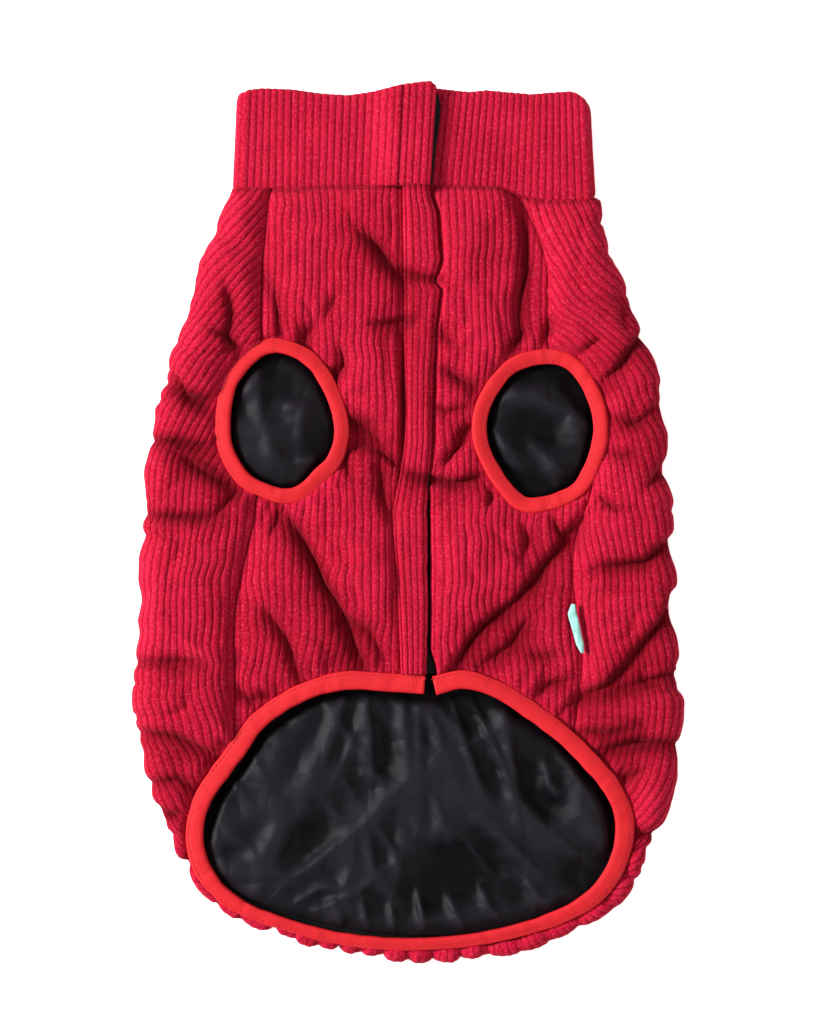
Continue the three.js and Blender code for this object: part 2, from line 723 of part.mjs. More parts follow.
// The flat middle of the back panel, which closes the rolled band, as one polygon.
function closeMiddle(band, height) {
  const flat = band.edge.map((id) => {
    const [x, y, z] = band.points[id];
    const level = Math.abs(z - height) < 0.05;
    return level && y < NECK_BACK - 1 && nearest(bodyLoop, x, y).out < -FLAT_EDGE / 2;
  });
  const count = band.edge.length;
  const begin = band.edge.findIndex((_, i) => flat[i] && !flat[(i + count - 1) % count]);
  const chain = [];
  const rest = [];
  for (let n = 0; n < count; n += 1) {
    const i = (begin + n) % count;
    if (flat[i] && rest.length === 0) chain.push(band.edge[i]);
    else rest.push(band.edge[i]);
  }
  const [first, last] = [band.points[chain[0]], band.points[chain[chain.length - 1]]];
  const across = steps(0, 1, 1 / 12).slice(1, -1);
  const points = [...band.points];
  const bridge = across.map((t) => {
    points.push([mix(first[0], last[0], t), mix(first[1], last[1], t), height]);
    return points.length - 1;
  });
  const ring = [...chain].reverse().concat(bridge);
  const outline = ring.map((id) => new THREE.Vector2(points[id][0], points[id][1]));
  const faces = THREE.ShapeUtils.triangulateShape(outline, []).map((f) => f.map((i) => ring[i]));
  // The band's edge runs along the chain, so the middle's faces run along it the other way.
  const runs = (face) => face.some((id, i) => id === chain[1] && face[(i + 1) % 3] === chain[0]);
  const shared = faces.find((f) => f.includes(chain[0]) && f.includes(chain[1]));
  const right = runs(shared) ? faces : faces.map(([a, b, c]) => [a, c, b]);
  const edge = [...rest, chain[0], ...bridge, chain[chain.length - 1]];
  return { points, triangles: [...band.triangles, ...right], edge };
}

function backPanel() {
  const sides = [-PATTERN_HALF, PATTERN_HALF];
  const [hem, longer, neck] = PATTERN_ROWS;
  const rows = [...steps(hem, longer, HEM_ROW), ...steps(longer, neck, ROW).slice(1)];
  const grid = (columns, inside) => trimmedGrid(columns, rows, (u, v) => backKeep(u, v, inside));
  const outer = patch(grid(ribColumns(...sides), false), (u, v) => backSurface(u, v, false), true);
  const inner = patch(grid(steps(...sides, PLAIN), true), (u, v) => backSurface(u, v, true), true);
  return wall(closeMiddle(outer, 0), closeMiddle(inner, WALL));
}

// The lining lies on the inside of the back panel.
function backLining() {
  const keep = (x, y) => Math.min(-nearest(bodyLoop, x, y).out - LINING_INSET, LINING_TOP - y);
  const top = (x, y) => LINING_Z[1] - Math.min(creaseDepth(LINING_FOLDS, x, y), 0);
  const [fine, coarse] = LINING_GRID;
  const [low, high] = [-210, LINING_TOP + 6];
  const rows = [...steps(low, LINING_FOLDED, fine), ...steps(LINING_FOLDED, high, coarse).slice(1)];
  const folded = trimmedGrid(steps(-126, 126, fine), rows, keep, 1);
  const plain = trimmedGrid(steps(-126, 126, coarse), steps(low, high, coarse), keep, 1);
  return wall(
    patch(folded, (x, y) => [x, y, top(x, y)]),
    patch(plain, (x, y) => [x, y, LINING_Z[0]]),
  );
}

// A belly panel swells between its seams.
const stripAt = (y, column) => read(STRIP, "y", y, column);

function bellyEdge(x, y) {
  return Math.min(
    -outsideBelly(x, y) - SEAM_GAP,
    outsideBindings(x, y) - GAP,
    neckLine(x) - GAP - y,
  );
}

const leftKeep = (x, y) => Math.min(bellyEdge(x, y), stripAt(y, "left") - SEAM_GAP - x);
const rightKeep = (x, y) => Math.min(bellyEdge(x, y), x - stripAt(y, "panel") - 2 * SEAM_GAP);

function bellyTop(x, y, edge) {
  const height = mix(BELLY_Z[1], BELLY_Z[2], swell(edge / SEAM_SOFT));
  const folds = moundHeight(x, y) * swell(edge / SEAM_SOFT) - creaseDepth(CREASES, x, y);
  return Math.max(height + folds, BELLY_Z[0] + LEAST_BELLY) + rib(x);
}

function bellyLeft() {
  const top = (x, y) => bellyTop(x, y, leftKeep(x, y));
  return panel({ x: [-92, 0], y: [-96, 172] }, leftKeep, top, () => BELLY_Z[0]);
}

// The right panel stays low where the front strip lies over it.
function bellyRight() {
  const beside = (x, y) => Math.max(x - stripAt(y, "right") - GAP, 0);
  const under = (x, y) => STRIP_Z[1] - UNDER_STRIP + UNDER_SLOPE * beside(x, y);
  const top = (x, y) => Math.min(bellyTop(x, y, rightKeep(x, y)), under(x, y));
  return panel({ x: [5, 96], y: [-96, 172] }, rightKeep, top, () => BELLY_Z[0]);
}

// The front strip: its left edge is sewn down, its right edge lies over the closure tape.
const STRIP_Y = [HEM_TOP, neckLine(0) - GAP];

function placket() {
  const left = (y) => stripAt(y, "left") + SEAM_GAP;
  const right = (y) => stripAt(y, "right");
  const ribs = Math.round(STRIP_WIDTH / WALE);
  const top = (x, y, share) => {
    const edge = Math.min(share, 1 - share) * STRIP_WIDTH;
    const height = mix(STRIP_Z[2], STRIP_Z[3], swell(edge / STRIP_SOFT));
    return height - 0.5 * Math.max(creaseDepth(CREASES, x, y), 0) + 0.7 * rib(share * ribs * WALE);
  };
  const bottom = (x, y) => mix(STRIP_Z[0], STRIP_Z[1], smooth(left(y) + 2, left(y) + 7, x));
  return strip(STRIP_Y, left, right, 2 * ribs, top, bottom, ROW * 0.75);
}

function closureTape() {
  const left = (y) => stripAt(y, "left") + TAPE_FROM;
  const right = (y) => stripAt(y, "panel") - 1.4 * SEAM_GAP;
  return strip(STRIP_Y, left, right, 1, () => TAPE_Z[1], () => TAPE_Z[0], ROW / 2);
}

// The collar: one band from its left end, round the back, to its right end under the left one.
const COLLAR_FOLD = [-89, 92.5]; // outer faces of its two folds
const COLLAR_ENDS = [10.5, -2]; // where the left and the right end stop, at the seam
const COLLAR_LEAN = [3.2, 7]; // how far the ends lean to the right at the top edge
const foldRadius = COLLAR_STEP / 2;
const foldInset = COLLAR_WALL / 2 + foldRadius;
const foldMiddle = [COLLAR_FOLD[0] + foldInset, COLLAR_FOLD[1] - foldInset];
const COLLAR_RUNS = (() => {
  const lengths = [
    COLLAR_ENDS[0] - foldMiddle[0],
    Math.PI * foldRadius,
    foldMiddle[1] - foldMiddle[0],
    Math.PI * foldRadius,
    foldMiddle[1] - COLLAR_ENDS[1],
  ];
  const ends = [];
  lengths.reduce((sum, length) => {
    ends.push(sum + length);
    return sum + length;
  }, 0);
  return ends;
})();

// Middle surface of the collar at a length p along the band and a share v of its height.
function collarPlace(p, v, lift) {
  const [a, b, c, d, e] = COLLAR_RUNS;
  const low = COLLAR_WALL / 2;
  const bumpy = (x) => 0.5 * Math.sin(x / 9) * Math.sin(v * Math.PI);
  let [x, z, nx, nz, left] = [0, low, 0, -1, true];
  let front = 1;
  if (p <= a) {
    const t = p / a;
    x = mix(COLLAR_ENDS[0] + COLLAR_LEAN[0] * v, foldMiddle[0], t);
    const over = 1 - smooth(COLLAR_ENDS[1] - 20, COLLAR_ENDS[1] - 4, x);
    z = low + COLLAR_STEP + (1 - over) * COLLAR_STEP + bumpy(x);
    [nx, nz] = [0, 1];
  } else if (p <= b) {
    const turn = ((p - a) / (b - a)) * Math.PI;
    [nx, nz] = [-Math.sin(turn), Math.cos(turn)];
    x = foldMiddle[0] + nx * foldRadius;
    z = low + foldRadius + nz * foldRadius;
    front = 0.5 + 0.5 * nz;
  } else if (p <= c) {
    x = mix(foldMiddle[0], foldMiddle[1], (p - b) / (c - b));
    left = x < 0;
    front = 0;
  } else if (p <= d) {
    const turn = ((p - c) / (d - c)) * Math.PI;
    [nx, nz] = [Math.sin(turn), -Math.cos(turn)];
    x = foldMiddle[1] + nx * foldRadius;
    z = low + foldRadius + nz * foldRadius;
    left = false;
    front = 0.5 + 0.5 * nz;
  } else {
    const t = (p - d) / (e - d);
    x = mix(foldMiddle[1], COLLAR_ENDS[1] + COLLAR_LEAN[1] * v, t);
    z = low + COLLAR_STEP;
    [nx, nz] = [0, 1];
    left = false;
  }
  const seam = mix(NECK_BACK, neckLine(x), front) + GAP;
  const edge = left ? read(COLLAR_LEFT_TOP, "x", x, "y") : read(COLLAR_RIGHT_TOP, "x", x, "y");
  return [x + nx * lift, mix(seam, edge, v), z + nz * lift];
}

function collar() {
  const last = COLLAR_RUNS[4];
  const thick = (p, v) => {
    const rim = swell((1 - v) * 8) * swell(Math.min(p, last - p) / 3);
    return (COLLAR_WALL / 2) * mix(0.45, 1, rim);
  };
  const outer = (p, v) => {
    const top = smooth(COLLAR_RUNS[1], COLLAR_RUNS[0], p) + smooth(COLLAR_RUNS[2], COLLAR_RUNS[3], p);
    const lean = p > COLLAR_RUNS[2] ? p - COLLAR_RUNS[4] : p;
    return collarPlace(p, v, thick(p, v) - (RIB / 2) * top + rib(lean) * top * 0.8);
  };
  const inner = (p, v) => collarPlace(p, v, -thick(p, v));
  const half = WALE / 2;
  const ribbed = (from, to) => steps(from, to, half);
  const columns = [
    ...ribbed(0, Math.round(COLLAR_RUNS[0] / half) * half),
    ...steps(COLLAR_RUNS[0], COLLAR_RUNS[1], 1.6).slice(1),
    ...steps(COLLAR_RUNS[1], COLLAR_RUNS[2], 16).slice(1),
    ...steps(COLLAR_RUNS[2], COLLAR_RUNS[3], 1.6).slice(1),
    ...ribbed(COLLAR_RUNS[3], COLLAR_RUNS[4]).slice(1),
  ];
  const plain = [
    ...steps(0, COLLAR_RUNS[0], 9),
    ...steps(COLLAR_RUNS[0], COLLAR_RUNS[1], 2).slice(1),
    ...steps(COLLAR_RUNS[1], COLLAR_RUNS[2], 16).slice(1),
    ...steps(COLLAR_RUNS[2], COLLAR_RUNS[3], 2).slice(1),
    ...steps(COLLAR_RUNS[3], COLLAR_RUNS[4], 9).slice(1),
  ];
  const levels = [0, 0.35, 0.7, 0.93, 1];
  const all = () => 1;
  return wall(
    patch(trimmedGrid(columns, levels, all), outer, true),
    patch(trimmedGrid(plain, levels, all), inner, true),
  );
}

// A hook strip on the right end of the collar, which shows just past the edge of the left end.
const COLLAR_TAPE = table("y left right", [
  [174, 11.8, 13.4],
  [188, 12.4, 14.2],
  [202, 13.2, 15.8],
  [213, 13.8, 15],
]);

function collarTape() {
  const line = (side) => (y) => read(COLLAR_TAPE, "y", y, side);
  const z = 2 * COLLAR_STEP;
  return strip([174, 213], line("left"), line("right"), 1, () => z + 1, () => z + 0.1, 10);
}

// A folded binding: a rounded flat tube along its middle line.
function binding(rows, closed) {
  const sides = BINDING_SIDES;
  const knots = rows.map((row) => new THREE.Vector3(row.x, row.y, row.z));
  const curve = new THREE.CatmullRomCurve3(knots, closed, "centripetal");
  const count = Math.round(curve.getLength() / BINDING_STEP);
  const centres = curve.getSpacedPoints(count).slice(0, closed ? count : count + 1);
  const points = [];
  centres.forEach((centre, i) => {
    const before = centres[closed ? (i + count - 1) % count : Math.max(i - 1, 0)];
    const after = centres[closed ? (i + 1) % count : Math.min(i + 1, count)];
    const along = new THREE.Vector2(after.x - before.x, after.y - before.y).normalize();
    const width = rows[0].width ? nearestRow(rows, centre.x, centre.y, "width") : LEG_WIDTH;
    for (let k = 0; k < sides; k += 1) {
      const angle = ((k + 0.5) / sides) * 2 * Math.PI;
      const [c, s] = [Math.cos(angle), Math.sin(angle)];
      const reach = (width / 2) * Math.sign(c) * Math.abs(c) ** 0.7;
      const rise = BINDING_HALF * Math.sign(s) * Math.abs(s) ** 0.8;
      points.push([centre.x + along.y * reach, centre.y - along.x * reach, centre.z + rise]);
    }
  });
  const triangles = [];
  const total = centres.length;
  for (let i = 0; i < (closed ? total : total - 1); i += 1) {
    for (let k = 0; k < sides; k += 1) {
      const [a, b] = [i * sides + k, i * sides + ((k + 1) % sides)];
      const [c, d] = [((i + 1) % total) * sides + k, ((i + 1) % total) * sides + ((k + 1) % sides)];
      triangles.push([a, d, b], [a, c, d]);
    }
  }
  if (!closed) {
    for (let k = 1; k + 1 < sides; k += 1) {
      const last = (total - 1) * sides;
      triangles.push([0, k, k + 1], [last, last + k + 1, last + k]);
    }
  }
  return { points, triangles };
}

// A small folded tag in the right side seam.
const LABEL = table("y left right", [
  [-66, 84, 87],
  [-61, 82.6, 87],
  [-52, 81.4, 85],
  [-44, 80.8, 83.6],
  [-41.5, 81.2, 83.4],
]);

function sideLabel() {
  const line = (side) => (y) => read(LABEL, "y", y, side);
  const z = BELLY_Z[2] + LABEL_RISE;
  return strip([-66, -41.5], line("left"), line("right"), 1, () => z + 1, () => z, 6);
}

// Solids
function mesh(name, solid, look) {
  const geometry = new THREE.BufferGeometry();
  geometry.setAttribute("position", new THREE.Float32BufferAttribute(solid.points.flat(), 3));
  geometry.setIndex(solid.triangles.flat());
  geometry.computeVertexNormals();
  const made = new THREE.Mesh(geometry, new THREE.MeshStandardMaterial({ ...look, metalness: 0 }));
  made.name = name;
  return made;
}

const CORDUROY = { color: 0xbf1634, roughness: 0.9 };
const TAPE_RED = { color: 0xe62c38, roughness: 0.75 };
const NYLON = { color: 0x1e1b20, roughness: 0.45 };
const HOOKS = { color: 0x141316, roughness: 0.95 };
const MINT = { color: 0x9fd6cb, roughness: 0.7 };

const coat = new THREE.Group();
coat.add(
  mesh("back_panel", backPanel(), CORDUROY),
  mesh("back_lining", backLining(), NYLON),
  mesh("belly_left", bellyLeft(), CORDUROY),
  mesh("belly_right", bellyRight(), CORDUROY),
  mesh("placket", placket(), CORDUROY),
  mesh("closure_tape", closureTape(), HOOKS),
  mesh("collar", collar(), CORDUROY),
  mesh("collar_tape", collarTape(), HOOKS),
  mesh("leg_binding_left", binding(LEG_LEFT, true), TAPE_RED),
  mesh("leg_binding_right", binding(LEG_RIGHT, true), TAPE_RED),
  mesh("hem_binding", binding(HEM, false), TAPE_RED),
  mesh("side_label", sideLabel(), MINT),
);

export default coat;
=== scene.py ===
"""Dog winter coat of red wide-wale corduroy, laid flat on its back with the belly side up.

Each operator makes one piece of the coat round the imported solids, and one makes the stage.
Tables and shapes are in millimetres, as on a cutter's pattern, and meshes are in metres.
"""

import math

import bpy
import numpy as np
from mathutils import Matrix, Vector
from mathutils.geometry import tessellate_polygon


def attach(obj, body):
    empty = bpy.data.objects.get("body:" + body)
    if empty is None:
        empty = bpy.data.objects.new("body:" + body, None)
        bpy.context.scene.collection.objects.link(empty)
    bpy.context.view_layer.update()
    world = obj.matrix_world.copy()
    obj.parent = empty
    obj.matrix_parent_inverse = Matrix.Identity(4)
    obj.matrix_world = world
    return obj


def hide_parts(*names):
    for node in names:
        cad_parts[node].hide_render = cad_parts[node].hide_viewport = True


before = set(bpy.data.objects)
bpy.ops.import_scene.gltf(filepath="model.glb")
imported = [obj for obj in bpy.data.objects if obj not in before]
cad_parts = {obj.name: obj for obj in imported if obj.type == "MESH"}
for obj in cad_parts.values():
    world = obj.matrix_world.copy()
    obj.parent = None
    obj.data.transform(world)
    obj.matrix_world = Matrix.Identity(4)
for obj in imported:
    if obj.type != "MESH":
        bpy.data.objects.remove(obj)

bl_info = {
    "name": "Dog winter coat",
    "version": (1, 0, 0),
    "blender": (4, 5, 0),
    "location": "3D View > Sidebar > Coat",
    "description": "Makes a corduroy dog coat piece by piece",
    "category": "Object",
}

MM = 0.001  # metres in a millimetre
PHOTO = (819, 1024)  # the picture's width and height in pixels
PIXEL = 0.5  # millimetres of coat in one pixel of the picture

# Layers above the surface
SEAM_WALL = 3.0  # the padded cloth pressed thin at a seam
SEAM_GAP = -0.15  # each panel reaches this far past a seam line
GAP = 0.3  # between neighbours
TUCK = 0.8  # how far a panel is tucked under the binding beside it
SEAM_DIP = 3.4  # how far the back panel sinks towards a seam
STRIP_DIP = 1.1  # towards the front strip
BOUND_DIP = 1.6  # and towards a binding
BELLY_DIP = 1.3  # how far a belly panel sinks towards a side seam
SEAM_SOFT = 13.0  # width over which it sinks
LINING_Z = (4.8, 5.9)  # underside and top of the lining
BELLY_Z = (6.3, 10.2, 13.4)  # inside, edge and middle of a belly panel
LEAST_BELLY = 2.0  # least thickness of a belly panel under a crease
NECK_SLOPE = (1.3, 0.3)  # how a belly panel rises from the collar seam, and how low it starts
STRIP_SLOPE = 5.0  # width over which it rises from the front strip
UNDER_STRIP = 0.9  # how far the right panel's edge lies below the strip's inside
TAPE_GAP = 0.35  # between the tape and the panel beside it
TAPE_Z = (7.8, 10.2)  # hook tape beside the right belly panel
STRIP_Z = (7.0, 11.3, 13.4, 15.2)  # front strip: low inside, inside, edge and middle
STRIP_SOFT = 5.0  # width over which the strip rises from its edges
NECK_BACK = 167.0  # the collar seam on the back panel
LINING_TOP = 158.0  # where the lining ends below the collar
HEM_TOP = -76.8  # where the front strip meets the hem binding

# The back panel's flat pattern
TOP_SLOPE = 0.02  # the wrapped cloth sinks this much for each millimetre inwards
FLAT_EDGE = 14.0  # the rolled band starts this far inside the side fold
REACH = 88.0  # the most cloth that wraps over a side fold
PATTERN_HALF = 220.0  # half the width of the pattern
PATTERN_ENDS = (-237.0, 192.0)  # its hem end and its neck end
FOLDS_FROM = (-9.0, -2.0)  # ribs and folds fade in here, just before the side fold
DIP_FROM = (2.0, 12.0)  # the dip at a seam fades in here, past the side fold
THIN_WITHIN = (2.0, 14.0)  # the wall gets thinner towards a seam over this stretch
INSIDE_SHARE = 0.7  # the inside follows this share of a fold
NECK_TURN = 12.0  # width over which the collar seam goes from the back to the front
INNER_EDGE = 0.8  # the plain inside stops this much earlier

# Finer form
COLUMNS_PER_RIB = 6
RIB_FLAT = 3.6  # a higher power makes the crests flatter and the grooves narrower
RIB_UNEVEN = 0.16  # how much the height of the pile varies along a rib
RIB_FADE = 1.6  # width over which the ribs begin at an edge
ROW = 1.7  # spacing of the rows along a panel
PLAIN = 5.0  # spacing of the grid on a plain inside
FOLD_GAIN = 2.0  # depth of the creases against their table
FOLD_LIMIT = 7.0  # which no crease goes far beyond
CREASE_REACH = 4.5  # how far a crease is worked out, against its half-width
CREASE_ENDS = 0.3  # share of its depth at its two ends
CREASE_ROUND = 0.55  # share of its section that is round
CREASE_TAIL = (0.65, 1.9)  # share that tails off, and how far against the half-width
PULL = 0.88  # how strongly cloth is drawn together at a crease
PULL_FADE = 9.0  # width beside a seam over which it isn't
MOUND_GAIN = 1.6  # height of the mounds against their table
HEM_LUMP = 1.3  # height of the bunched cloth in the rolled hem
PUFF = 1.5  # how much the wadding lifts the cloth between its creases
WANDER = 2.2  # how far the ribs wander to either side
PUCKER = 1.5  # height of the gathers at a binding
PUCKER_REACH = 9.0  # how far the gathers run out from a binding
LUMP = 0.85  # height of the soft lumps of the wadding
LEAN_STEEP = 0.42  # how much a leaning fold narrows on its steep side
LEAN_SOFT = 0.7  # and widens on its soft side


def table(names, rows):
    """A table of numbers with named columns."""
    return dict(zip(names.split(), np.array(rows, float).T))


# Side folds of the body, from the neck down to the hem
BODY = table("y left right", [
    (235, -71, 89),
    (200, -80, 91.5),
    (168, -88.5, 93.5),
    (150, -95, 96.5),
    (130, -103, 103),
    (110, -110, 112),
    (90, -116.5, 119.5),
    (66, -124, 125),
    (36, -130.5, 130),
    (0, -133.5, 132.5),
    (-40, -135.5, 134),
    (-80, -136.2, 135.6),
    (-105, -134.5, 135.6),
    (-130, -131, 133),
    (-155, -124.5, 126),
    (-175, -114, 116.5),
    (-192, -100, 103.5),
    (-205, -76, 83),
    (-212.5, -54, 64),
    (-218, -28, 44),
    (-220.5, -2, 24),
])

# Section of the side fold: its height, and how far its top and underside curve in
FOLD = table("y height top under", [
    (230, 12, 7, 7),
    (168, 13.5, 8, 7),
    (130, 17, 12, 7),
    (-100, 17, 12, 7),
    (-170, 15, 9, 7),
    (-200, 12.5, 6, 7),
    (-221, 12, 5.5, 7),
])

# Side seams between the wrapped back and the belly
SEAMS = table("y left right", [
    (178, -69.5, 47),
    (167, -70, 51),
    (154, -71, 59),
    (141, -72.5, 65),
    (128, -74, 69),
    (105, -75, 69.5),
    (88, -75, 70),
    (60, -76, 81),
    (20, -77, 92),
    (2, -78, 87),
    (-10, -81, 83.5),
    (-26, -84.5, 82),
    (-42, -87.5, 83.5),
    (-58, -88.5, 86.2),
    (-74, -88, 86.8),
    (-88, -88, 85),
    (-104, -88.5, 83),
    (-125, -86, 78),
])

# Collar seam on the front
NECK = table("x y", [
    (-92, 167.5),
    (-55, 167.5),
    (-35, 169),
    (10, 169),
    (45, 168.5),
    (50, 166.5),
    (60, 162.5),
    (75, 161),
    (96, 161),
])

# Top edge of the collar: its left half lies over its right half
COLLAR_LEFT_TOP = table("x y", [
    (-89, 207),
    (-87.5, 211.5),
    (-84.5, 215),
    (-80, 217),
    (-73, 217.5),
    (-59, 217),
    (-45, 215),
    (-31, 214),
    (-17, 216),
    (-3, 219),
    (8, 220.4),
    (11.5, 220.2),
    (13, 218.6),
    (14.2, 216.2),
])
COLLAR_RIGHT_TOP = table("x y", [
    (-4, 216),
    (14, 217.5),
    (30, 215.5),
    (39, 216.5),
    (60, 214.5),
    (81, 216),
    (85, 214.6),
    (88, 211.5),
    (90, 206),
    (92, 198),
])

# Front strip, and the edge of the right belly panel beside its tape
STRIP = table("y left right panel", [
    (172, -3.5, 10.2, 7.6),
    (163, -3.4, 10.3, 7.8),
    (155, -3.3, 13.2, 10.2),
    (131, -3, 15.2, 11.6),
    (120, -2.9, 12.4, 10),
    (116, -2.9, 15.2, 10.6),
    (100, -2.8, 13.5, 10.4),
    (70, -2.7, 11.7, 9.4),
    (40, -2.5, 11, 8.8),
    (25, -4.5, 10.2, 9.2),
    (4, -8.7, 8.8, 9.9),
    (-14, -7.8, 8.9, 10),
    (-44, -5.8, 9.1, 10.1),
    (-64, -4.8, 8.8, 10.2),
    (-72, -4.5, 8.5, 12.8),
    (-88, -4, 8.2, 15.2),
])

# Middle lines of the leg-hole bindings, going round from the top
LEG_WIDTH = 7.6
LEG_LEFT = table("x y z", [
    (-67, 88, 10.8),
    (-54, 84, 11),
    (-46, 77, 11),
    (-37, 60, 11.2),
    (-34, 44, 11.4),
    (-38, 30, 11.2),
    (-45, 23, 11),
    (-54, 14.5, 10.8),
    (-63, 12.5, 10.8),
    (-72, 15, 10.8),
    (-83, 21, 11),
    (-92, 36, 11.4),
    (-93.5, 50, 11.6),
    (-90, 69, 11.4),
    (-83, 79, 11),
    (-75, 86, 10.8),
])
LEG_RIGHT = table("x y z", [
    (69, 82.5, 10.8),
    (56, 80, 10.8),
    (48, 75, 11),
    (37, 58, 11.2),
    (35, 45, 11.4),
    (37.5, 34, 11.2),
    (48, 16.5, 11),
    (57, 8.5, 10.8),
    (67, 8.5, 10.8),
    (77, 11.5, 10.8),
    (86, 17.5, 11),
    (95, 38, 11.4),
    (95.5, 52, 11.6),
    (92, 64, 11.4),
    (85, 75.5, 11),
    (78, 81, 10.8),
])

# Middle line of the hem binding, from its left end at the centre front round to its right end
HEM = table("x y z width", [
    (7.6, -82, 12.2, 9.4),
    (-10, -81, 12, 9.4),
    (-32, -80, 11.6, 9.4),
    (-50, -84.5, 11.4, 9),
    (-64, -91.5, 11.4, 9),
    (-77, -101.5, 11.6, 9),
    (-85, -112.5, 12, 9.4),
    (-95, -126, 12.2, 9.4),
    (-103, -138, 12, 9.4),
    (-107, -150, 11.8, 9),
    (-107.5, -162, 11.4, 9),
    (-103.5, -175, 10.8, 8.6),
    (-93, -188, 10.2, 8),
    (-79, -196.5, 9.6, 7),
    (-62, -202.5, 9.2, 6.4),
    (-42, -208.3, 9, 6.4),
    (-20, -211.6, 9, 6.4),
    (0, -212.6, 9, 6.4),
    (30, -210.6, 9, 6.4),
    (57, -205, 9.2, 6.8),
    (77, -198, 9.6, 7.4),
    (92, -189, 10.4, 8.4),
    (101.5, -177.5, 11, 9),
    (107, -163, 11.6, 9.2),
    (107.5, -148, 12, 9.4),
    (101, -133, 12.2, 9.4),
    (91, -121, 12, 9.4),
    (78, -108, 11.6, 9),
    (58, -93, 11.4, 9),
    (43, -84, 11.4, 9),
    (27, -79.5, 11.6, 9.4),
    (12.4, -82.6, 11.4, 9.4),
])

